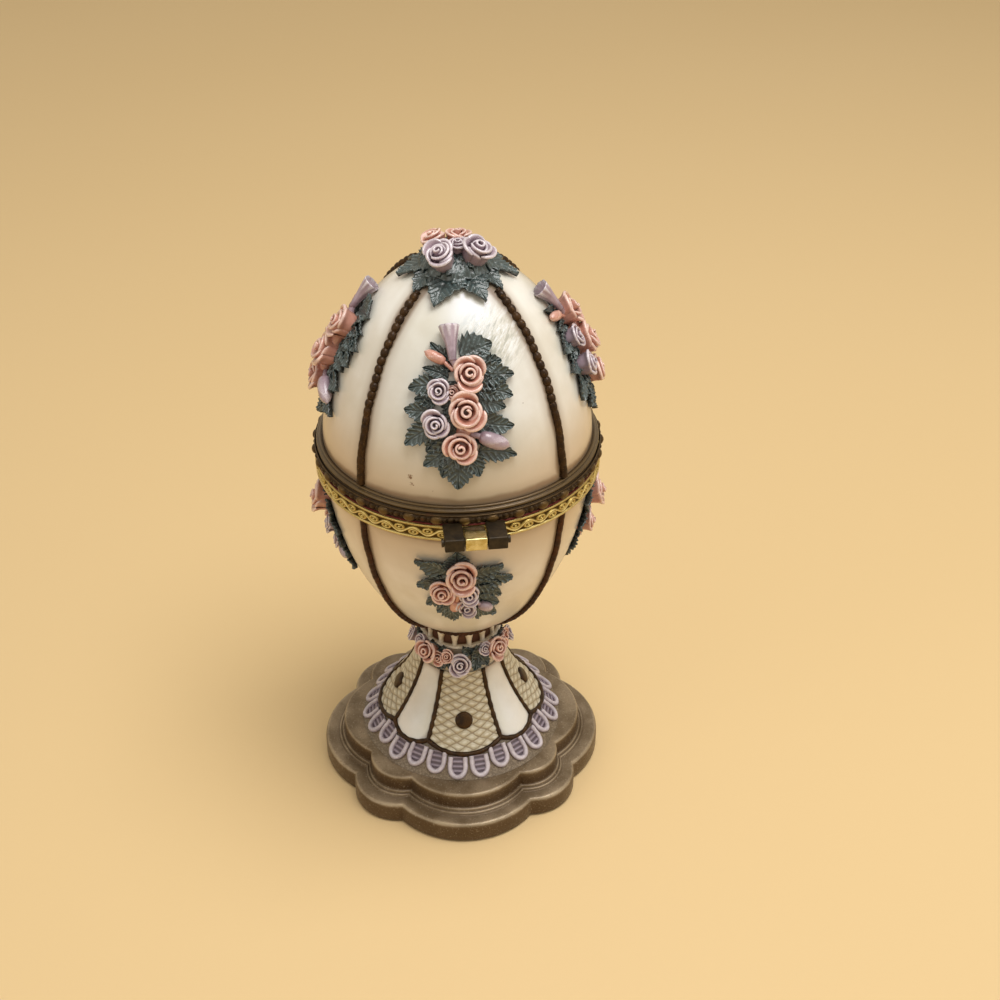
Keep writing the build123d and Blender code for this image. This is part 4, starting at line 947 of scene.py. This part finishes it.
def pressed_band(bottom, top, relief, columns, depth, edge=0.36, low_edge=0.85, ground=0.0):
    """Points, faces and raised values of a rim's outer face, with rolled edges and a pressed pattern."""
    middle, half = (bottom + top) / 2, (top - bottom) / 2
    turn = full_turn(columns)[None, :]
    curve = np.linspace(-pi / 2, pi / 2, 7)
    bead, bead_radius = edge * np.sin(curve), RIM_RADIUS - edge + edge * np.cos(curve)
    face = np.linspace(-half + 2 * edge + 0.04, half - 2 * edge - 0.04, 26)
    rows = np.concatenate([-half + edge + bead, face, half - edge + bead])[:, None]
    radii = np.concatenate([bead_radius, np.full(26, RIM_RADIUS - 0.42), bead_radius])[:, None]
    # Paint values of the lower and upper rolled edges: a high value paints them pale with the crowns'
    # highlight, a low one dark as painted shadow.
    plain = np.repeat([low_edge, 0.0, 0.8], [7, 26, 7])[:, None]
    pressed = (np.abs(rows) < half - 2 * edge) + 0.0
    pattern = relief(turn * RIM_RADIUS, rows) * pressed
    points = ring_points(turn, radii + depth * pattern, middle + rows)
    raised = pressed * (ground + (1 - ground) * pattern) + plain * (1 - pressed)
    return points, strip(len(rows), columns, True), raised


def rim_ring(profile):
    """Plain turned part of a rim behind its pressed face, from a closed section of radii and heights."""
    return round_band([(radius, height, 0.6) for radius, height in profile[::-1] + profile[-1:]], 180)


def pressed_brass(name, deep, body, pale_crown_and_highlight, low_rough, high_rough, metal):
    """Brass with a dark wash in its ground, rubbed bright on the crowns with a painted highlight there as
    well, and scratched by handling.
    """
    material, place = finish(name, Metallic=metal)
    cloud = grain(place, 4.0, 4.0, 0.6)
    scratch = grain(place, 0.25, 3.0, 0.7)
    height = painted(material, "raised") + (scratch - 0.5) * 0.4
    colour = lay(deep, (ramp(height, 0.1, 0.55), body), (ramp(height, 0.7, 1.0), pale_crown_and_highlight),
                 (ramp(cloud, 0.6, 0.75) * 0.5, deep))
    coat_with(colour, between(cloud, 0.3, 0.7, low_rough, high_rough), scratch, 0.02)
    return material


gilt = pressed_brass("gilt_pressed_brass", tint(72, 54, 20), tint(162, 138, 72), tint(220, 203, 144),
                     0.26, 0.44, 0.85)
bowl_band = pressed_band(BOWL_RIM_BOTTOM, BOWL_RIM_TOP, scroll_relief, 1280, 0.5)
bowl_turned = rim_ring([
    (BAND_BACK, BOWL_RIM_BOTTOM + 0.02), (BAND_BACK, BOWL_RIM_TOP), (LIP_OUT, BOWL_RIM_TOP),
    (LIP_OUT, LIP_TOP - 0.2), (LIP_OUT - 0.2, LIP_TOP), (LIP_IN + 0.2, LIP_TOP), (LIP_IN, LIP_TOP - 0.2),
    (LIP_IN, BOWL_RIM_TOP - 0.8), (SHELL_SEAT, BOWL_RIM_TOP - 0.8), (SHELL_SEAT, BOWL_RIM_BOTTOM + 0.02),
])
cast("bowl_rim_band", [bowl_band, bowl_turned], gilt, "stand", "bright_brass", "bowl_rim")

# Hinge: two dark outer knuckles on the lid's rim and one bright middle knuckle on the bowl's, on a pin.
# Square brass stock with eased edges, soldered on; the outer pair is antiqued, the middle one polished.
HINGE_OUT, HINGE_LEVEL, HINGE_TURN, KNUCKLE = 39.75, PARTING - 0.6, radians(3.3), 3.3
OUTER_WIDTH, MIDDLE_WIDTH, KNUCKLE_PLAY, EASED_EDGE, STRAP = 4.5, 5.0, 0.15, 0.32, 0.7


def filed_brass(name, dark, bright, low_rough, high_rough, metal):
    """Plain brass stock with file marks and a little tarnish."""
    material, place = finish(name, Metallic=metal)
    marks = vector("MULTIPLY", place, (120.0, 2600.0, 2600.0))
    lines = wire(material, "TexNoise", marks, None, 1.0, 3.0, 0.6)
    colour = lay(dark, (ramp(grain(place, 1.6, 4.0, 0.6), 0.3, 0.7), bright))
    coat_with(colour, between(lines, 0.3, 0.7, low_rough, high_rough), lines, 0.012)
    return material


def knuckles(name, section, spans, material, body, slot, node):
    """Blocks of one section, given in from the pin and up from it, with every edge eased."""
    shape = bmesh.new()
    for start, width in spans:
        left, right = ([shape.verts.new((across, inward - HINGE_OUT, HINGE_LEVEL + rise))
                        for inward, rise in section] for across in (start, start + width))
        shape.faces.new(left[::-1])
        shape.faces.new(right)
        for here in range(len(section)):
            beyond = (here + 1) % len(section)
            shape.faces.new((left[here], left[beyond], right[beyond], right[here]))
    bmesh.ops.recalc_face_normals(shape, faces=shape.faces)
    bmesh.ops.bevel(shape, geom=shape.edges[:], offset=EASED_EDGE, segments=3, profile=0.6, affect="EDGES",
                    clamp_overlap=True)
    shape.verts.index_update()
    c, s = cos(HINGE_TURN), sin(HINGE_TURN)
    points = [(c * v.co.x - s * v.co.y, s * v.co.x + c * v.co.y, v.co.z) for v in shape.verts]
    faces = [tuple(v.index for v in face.verts) for face in shape.faces]
    shape.free()
    piece(name, points, faces, material, body, slot, node)


square, to_rim = KNUCKLE / 2, HINGE_OUT - RIM_RADIUS
polished = filed_brass("polished_knuckle", tint(186, 168, 106), tint(222, 211, 164), 0.2, 0.38, 0.95)
antiqued = filed_brass("antiqued_knuckle", tint(32, 24, 12), tint(58, 46, 28), 0.36, 0.55, 0.5)
strap_top = BOWL_RIM_TOP - HINGE_LEVEL
strap_bottom = strap_top - (BOWL_RIM_TOP - BOWL_RIM_BOTTOM)
knuckles("bowl_hinge_knuckle", [
    (-square, -square), (to_rim - STRAP, -square), (to_rim - STRAP, strap_bottom),
    (to_rim + 0.3, strap_bottom), (to_rim + 0.3, strap_top), (square, strap_top), (square, square),
    (-square, square),
], [(-MIDDLE_WIDTH / 2, MIDDLE_WIDTH)], polished, "stand", "bright_brass", "bowl_hinge_leaf")
arm_under, outer_start = PARTING + 0.125 - HINGE_LEVEL, MIDDLE_WIDTH / 2 + KNUCKLE_PLAY
knuckles("lid_hinge_knuckles", [
    (-square, -square), (square, -square), (square, arm_under), (to_rim + 0.3, arm_under),
    (to_rim + 0.3, square), (-square, square),
], [(outer_start, OUTER_WIDTH), (-outer_start - OUTER_WIDTH, OUTER_WIDTH)], antiqued, "lid", "dark_brass",
    "lid_hinge_leaf")
dress("hinge_pin", antiqued)

# Lid shell: the upper half egg, cast thin and lacquered like the bowl.
# The lacquer is scuffed high on the front panel's right, where a hand takes hold of it, the scuffs streaked
# with painted white glints; it has two brown specks low on the same panel's left.
SCUFF_PLACE = (0.0072, -0.0190, 0.1409)
SPECKS = (((-0.0120, -0.0299, 0.1124), 0.0007), ((-0.0116, -0.0303, 0.1107), 0.0005))
lid_pearl, place, colour, outside, silk = shell_finish("lid_pearl_lacquer", PARTING + 4.5, 1, LID_RISE)
rubbed = ramp(vector("DISTANCE", place, SCUFF_PLACE), 0.0105, 0.003) * outside
slant = wire(lid_pearl, "VectorRotate", place, None, None, radians(-45), rotation_type="Y_AXIS")
slant = vector("MULTIPLY", slant, (1250.0, 260.0, 260.0))
streak = wire(lid_pearl, "TexNoise", slant, None, 1.0, 4.0, 0.75)
scuff_and_glint = rubbed * ramp(streak, 0.52, 0.6)
dull = rubbed * ramp(streak, 0.52, 0.4)
# Grey scuff marks, and white streaks in them that are painted glints of highlight.
colour = lay(colour, (dull * 0.8, tint(172, 170, 152)), (scuff_and_glint * 0.85, tint(243, 244, 239)))
for speck, size in SPECKS:
    ragged = vector("DISTANCE", place, speck) + (silk - 0.5) * 0.002
    colour = lay(colour, (ramp(ragged, size, size / 3), tint(128, 96, 62)))
freckle = ramp(grain(place, 1.3, 2.0, 0.4), 0.775, 0.8)
colour = lay(colour, (freckle * 0.7, tint(120, 92, 60)))
coat_with(colour, scuff_and_glint * 0.25 + 0.3, silk + scuff_and_glint * 6.0, 0.008)
dress("lid_shell", lid_pearl)

# Lid rim: a narrower brass band with a row of large round bosses and small beads, antiqued and darkened
# nearly black as painted shade.
# It is rolled over the lid's mouth, with a red-brown line of painted shadow along its lower edge, where the
# gap to the bowl's rim lies.
LID_RIM_BOTTOM, LID_RIM_TOP, LIP_BORE, BOSSES = PARTING + 0.125, PARTING + 2.925, 30.0, 34


def boss_relief(run, up):
    """Relief of the bosses: a large one, then a small bead between two seeds, all the way round."""
    pitch = 2 * pi * RIM_RADIUS / BOSSES
    large = bead_at(run, up, pitch, 0, 0.08, 1.6, 1.25)
    bead = bead_at(run, up, pitch, pitch / 2, 0.1, 0.75, 0.8)
    seeds = [bead_at(run, up, pitch, pitch / 2 + aside, 0.0, 0.42, 0.6) for aside in (-1.3, 1.3)]
    return np.maximum(np.maximum(large, 0.62 * bead), 0.45 * np.maximum(*seeds))


# Dark brass: its near-black body is painted shade, and its dark red along the lower edge the painted shadow
# of the gap.
shaded_lid_brass = pressed_brass("shaded_dark_pressed_brass", tint(84, 22, 16), tint(52, 36, 14), tint(94, 71, 34),
                          0.3, 0.46, 0.65)
# low_edge 0.02 lays the dark red along the band's lower edge.
lid_band = pressed_band(LID_RIM_BOTTOM, LID_RIM_TOP, boss_relief, 1088, 1.15, 0.2, 0.02, 0.5)
lid_turned = rim_ring([
    (BAND_BACK, LID_RIM_BOTTOM), (BAND_BACK, LID_RIM_TOP - 0.02), (SHELL_SEAT, LID_RIM_TOP - 0.02),
    (SHELL_SEAT, LID_RIM_BOTTOM + 0.8), (LIP_BORE, LID_RIM_BOTTOM + 0.8), (LIP_BORE, LID_RIM_BOTTOM),
])
cast("lid_rim_band", [lid_band, lid_turned], shaded_lid_brass, "lid", "dark_brass", "lid_rim")

# Lid bead: a fine double moulding cast on the lid just above its rim.
# Brushed with bronze, its two crowns olive and paler on their upper sides as painted highlight, darker
# beneath as painted shade.
moulding, place = finish("shaded_bronze_bead", Metallic=0.45, Coat_Weight=0.4, Coat_Roughness=0.25)
fleck = grain(place, 0.4, 2.0, 0.7)
# rubbed here is the bead's colour: paler on the beads' upper outer sides as painted highlight, darker under
# them as painted shade, with random flecks.
rubbed = lay(
    tint(40, 26, 9),
    (ramp(painted(moulding, "raised"), 0.2, 0.9), tint(84, 63, 26)),
    (ramp(grain(place, 6.0, 4.0, 0.6), 0.45, 0.65) * 0.5, tint(64, 46, 20)),
    (ramp(fleck, 0.62, 0.75) * 0.6, tint(124, 102, 58)),
)
coat_with(rubbed, 0.36, fleck, 0.03)
section = [(32.6, 104.7, 0.0), (34.2, 104.7, 0.0)]
for radius, height, girth in ((34.0, 105.2, 0.5), (33.45, 106.0, 0.36)):
    for angle in np.radians([-40, -10, 20, 50, 80, 110]):
        # raised peaks on each bead's upper outer side: painted highlight above, painted shade below.
        raised = 0.3 + 0.7 * sin(angle + 0.6)
        section.append((radius + girth * cos(angle), height + girth * sin(angle), raised))
section.append((32.6, 106.1, 0.0))
cast("lid_double_bead", [round_band(section, 240)], moulding, "lid", "bronze_paint", "lid_bead")

# Lid cords: four cords from the bead up to the crown, strung like beads above their plain lower ends.
# Modelled on the shell and brushed with bronze.
cords = [panel_cord(turn, 5.0, 45.9, LID_RISE, lambda t: 0.98 - 0.16 * np.clip(2 * t, 0, 1),
                    lambda t: 0.12 + 0.5 * np.clip((t - 0.34) / 0.1, 0, 1))
         for turn in CORD_TURNS]
cast("lid_dividing_cords", cords, bronze, "lid", "bronze_paint", "lid_cords")

# Lid sprays: a tall sprig of leaves, three pink roses and a small one down its middle, two lilac roses
# beside them, and buds. All four panels carry the same casting.
LID_SPRAY = 26.0
set_sprays("lid", "lid", sprig_on_panel(
    LID_SPRAY, LID_RISE,
    leaves=[
        ((-2.2, 11.6), (-6.4, 15.4), 2.8, 1.0), ((-2.8, 7.9), (-8.2, 10.1), 2.8, 1.0),
        ((0.0, 12.2), (6.8, 14.8), 7.4, 0.8), ((3.8, 9.2), (11.3, 8.1), 5.0, 1.1),
        ((3.8, 5.6), (11.0, 3.4), 5.0, 1.1), ((3.0, -1.4), (11.2, -3.2), 5.2, 1.1),
        ((3.4, -8.6), (11.7, -9.8), 4.6, 1.1), ((-0.3, -9.2), (-1.2, -17.2), 6.8, 1.0),
        ((-2.4, -6.6), (-8.7, -11.5), 5.4, 1.1), ((-6.4, -2.8), (-12.5, -6.8), 5.0, 1.2),
        ((-6.2, 0.9), (-12.4, 1.1), 4.8, 1.2), ((-4.8, 6.2), (-11.3, 5.6), 5.0, 1.2),
        ((3.6, 3.0), (9.4, 0.8), 4.6, 0.6), ((2.6, 10.8), (8.8, 11.2), 4.8, 0.6),
        ((1.0, -9.0), (3.6, -14.4), 4.8, 0.7), ((-1.4, -8.6), (-4.8, -14.4), 4.8, 0.7),
        ((3.6, 7.2), (9.6, 6.0), 4.4, 0.6), ((-5.4, 3.2), (-10.2, 3.2), 3.8, 0.6),
        ((2.6, -5.2), (8.6, -5.6), 4.4, 0.5), ((-4.0, -4.6), (-8.0, -8.6), 4.4, 0.5),
        ((-1.6, 9.6), (-4.4, 12.6), 3.4, 0.4), ((-1.6, 7.2), (-2.9, -0.6), 5.2, 0.1),
        ((-2.0, 1.4), (-3.6, -6.2), 5.2, 0.1), ((1.6, 5.6), (3.0, -4.0), 4.6, 0.1),
    ],
    pink=[(1.5, 8.5, 3.6), (0.7, 0.7, 3.9), (-0.6, -7.0, 3.4), (-2.0, 4.8, 1.7)],
    lilac=[(-4.7, 5.1, 2.5), (-5.5, -2.0, 3.0)],
    pink_buds=[((-1.6, 9.4), (-3.3, 11.2), (-7.5, 13.4), 1.2, False),
               ((1.3, 6.4), (1.4, 7.0), (0.9, 2.0), 1.7, False),
               ((0.4, -2.0), (0.4, -2.4), (-0.3, -5.2), 1.6, False)],
    lilac_buds=[((-0.6, 9.6), (-1.7, 11.4), (-2.2, 18.4), 2.05, True),
                ((1.6, -4.4), (3.4, -4.8), (9.8, -7.6), 1.75, False)],
))

# Crown: broad leaves spread over the top of the egg, with two pink and three lilac roses heaped on them.
# Cast as one cluster and glued over the ends of the cords.
MOUND_RISE, MOUND_RADIUS = 3.0, 8.2
MOUND = [(7.4, -0.4), (7.2, 0.6), (6.4, 1.4), (4.6, 2.4), (2.0, 2.9), (0.05, 3.0)]
# Each leaf: turn in degrees from the front, reach, width; the first six lift their tips
CROWN_LEAVES = [(-21, 14.6, 9.2), (25, 14.0, 8.4), (84, 13.6, 8.0), (152, 14.2, 8.4), (-156, 14.4, 8.4),
                (-86, 12.8, 8.6), (50, 13.0, 6.6), (-48, 13.0, 7.0), (122, 13.0, 7.4), (-126, 13.0, 7.4),
                (180, 10.8, 6.4)]
# Each rose: places across and back, radius
CROWN_PINK = [(-3.7, 0.9, 2.9), (0.5, 1.6, 2.6)]
CROWN_LILAC = [(-2.8, -4.6, 3.4), (3.6, -3.3, 3.4), (0.4, -1.4, 2.2)]


def crown_surface(across, back, rise):
    """Lays points given across and back in plan onto the top of the egg, lifted by rise."""
    across, back, rise = np.broadcast_arrays(np.asarray(across, dtype=float), back, rise)
    height = LID_RISE * np.sqrt(np.clip(1 - (across**2 + back**2) / EGG_RADIUS**2, 0, 1))
    normal = np.stack([across / EGG_RADIUS**2, back / EGG_RADIUS**2, height / LID_RISE**2], axis=-1)
    return np.stack([across, back, PARTING + height], axis=-1) + unit(normal) * rise[..., None]


def crown_mound(across, back, rise):
    """The crown's surface with the low mound under the roses."""
    near = np.clip(1 - (np.hypot(across, back) / MOUND_RADIUS) ** 2, 0, 1)
    return crown_surface(across, back, rise + MOUND_RISE * near**0.7)


green, pink, lilac = [], [], []
for number, (turn, reach, width) in enumerate(CROWN_LEAVES):
    aim, lift, bend = ring_points(radians(turn), 1, 0)[:2], 0.9 if number < 6 else 0.2, 0.05 * (-1) ** number
    green.append(leaf(crown_mound, aim * 1.6, aim * reach, width, lift, number * 1.3, 7, bend))
for number in range(4):
    aim = ring_points(radians(45 * number + 112), 1, 0)[:2]
    green.append(leaf(crown_mound, aim * 0.4, aim * 7.6, 5.6, 0.5, number * 2.1, 5))
mound, faces = turned(MOUND, 40)
mound[:, 2] += LID_RISE * np.sqrt(1 - (mound[:, 0] ** 2 + mound[:, 1] ** 2) / EGG_RADIUS**2) + PARTING
# The mound takes the leaves' darkest green all over, as painted shade under the roses.
green.append((mound, faces, np.full(len(mound), 0.05)))
for lot, roses in ((pink, CROWN_PINK), (lilac, CROWN_LILAC)):
    for number, (across, back, radius) in enumerate(roses):
        points, faces, raised = rose(radius, 1.1 + number * 2.3 + radius, number + radius)
        foot, top = crown_surface(across, back, 3.2), crown_surface(across, back, 4.2)
        out = (top - foot) + np.array([across, back, 0]) * 0.06
        lot.append((set_on(points, foot, np.array([1.0, 0, 0]), out), faces, raised))
set_cluster("crown", "top", "lid", green, pink, lilac)

# Studio: a pale sand floor, a large soft box overhead and two fills, with the camera where the photograph
# was taken from, about 0.4 m away and looking down at the egg.
CAMERA, PITCH, YAW, ROLL = (-0.01153, -0.30842, 0.30484), radians(35.57), radians(4.08), radians(0.37)
EGG_MIDDLE = np.array([0, 0, 0.08])
floor_mesh = bpy.data.meshes.new("studio_floor")
floor_mesh.from_pydata([(-4, -4, 0), (4, -4, 0), (4, 4, 0), (-4, 4, 0)], [], [(0, 1, 2, 3)])
floor = bpy.data.objects.new("studio_floor", floor_mesh)
bpy.context.scene.collection.objects.link(floor)
sand, place = finish("pale_sand_paper", Specular_IOR_Level=0.2)
tooth = wire(sand, "TexNoise", place, None, 900.0, 4.0, 0.6)
cloud = wire(sand, "TexNoise", place, None, 2.0, 2.0, 0.5)
coat_with(lay(tint(226, 194, 140), (cloud, tint(232, 202, 152))), 0.85, tooth, 0.03)
floor_mesh.materials.append(sand)

world = bpy.data.worlds.new("soft_room")
bpy.context.scene.world = world
world.use_nodes = True
room = world.node_tree.nodes["Background"]
room.inputs["Color"].default_value = tint(246, 240, 230)
room.inputs["Strength"].default_value = 0.52
backdrop = wire(world, "Background", tint(236, 224, 202))
seen, mirrored = (wire(world, "LightPath", out=ray) for ray in ("Is Camera Ray", "Is Glossy Ray"))
shown = wire(world, "Math", seen, mirrored, operation="MAXIMUM")
either = wire(world, "MixShader", shown, Tone(world, room.outputs[0]), backdrop)
fill(world.node_tree.nodes["World Output"].inputs["Surface"], either)


def soft_box(name, place, size, power):
    """A square area lamp that looks at the middle of the egg."""
    lamp = bpy.data.lights.new(name, "AREA")
    lamp.size, lamp.energy = size, power
    held = bpy.data.objects.new(name, lamp)
    back = unit(np.array(place) - EGG_MIDDLE)
    right = unit(np.cross([0, 1, 0] if abs(back[2]) > 0.95 else [0, 0, 1], back))
    held.matrix_world = [[*column, 0] for column in (right, np.cross(back, right), back)] + [[*place, 1]]
    bpy.context.scene.collection.objects.link(held)


soft_box("overhead_box", (0.16, -0.10, 0.80), 0.46, 4.3)
soft_box("left_fill", (-0.6, -0.35, 0.4), 0.5, 0.6)
soft_box("right_fill", (0.65, -0.3, 0.35), 0.5, 0.7)

look = np.array([sin(YAW) * cos(PITCH), cos(YAW) * cos(PITCH), -sin(PITCH)])
right = unit(np.cross(look, [0, 0, 1]))
up = np.cross(right, look)
level, upright = cos(ROLL) * right + sin(ROLL) * up, cos(ROLL) * up - sin(ROLL) * right
lens = bpy.data.cameras.new("photo_camera")
lens.sensor_width, lens.lens = 36.0, 54.0
lens.clip_start, lens.clip_end = 0.01, 20.0
camera = bpy.data.objects.new("photo_camera", lens)
camera.matrix_world = [[*level, 0], [*upright, 0], [*-look, 0], [*CAMERA, 1]]
bpy.context.scene.collection.objects.link(camera)
bpy.context.scene.camera = camera
bpy.context.scene.view_settings.view_transform = "Standard"
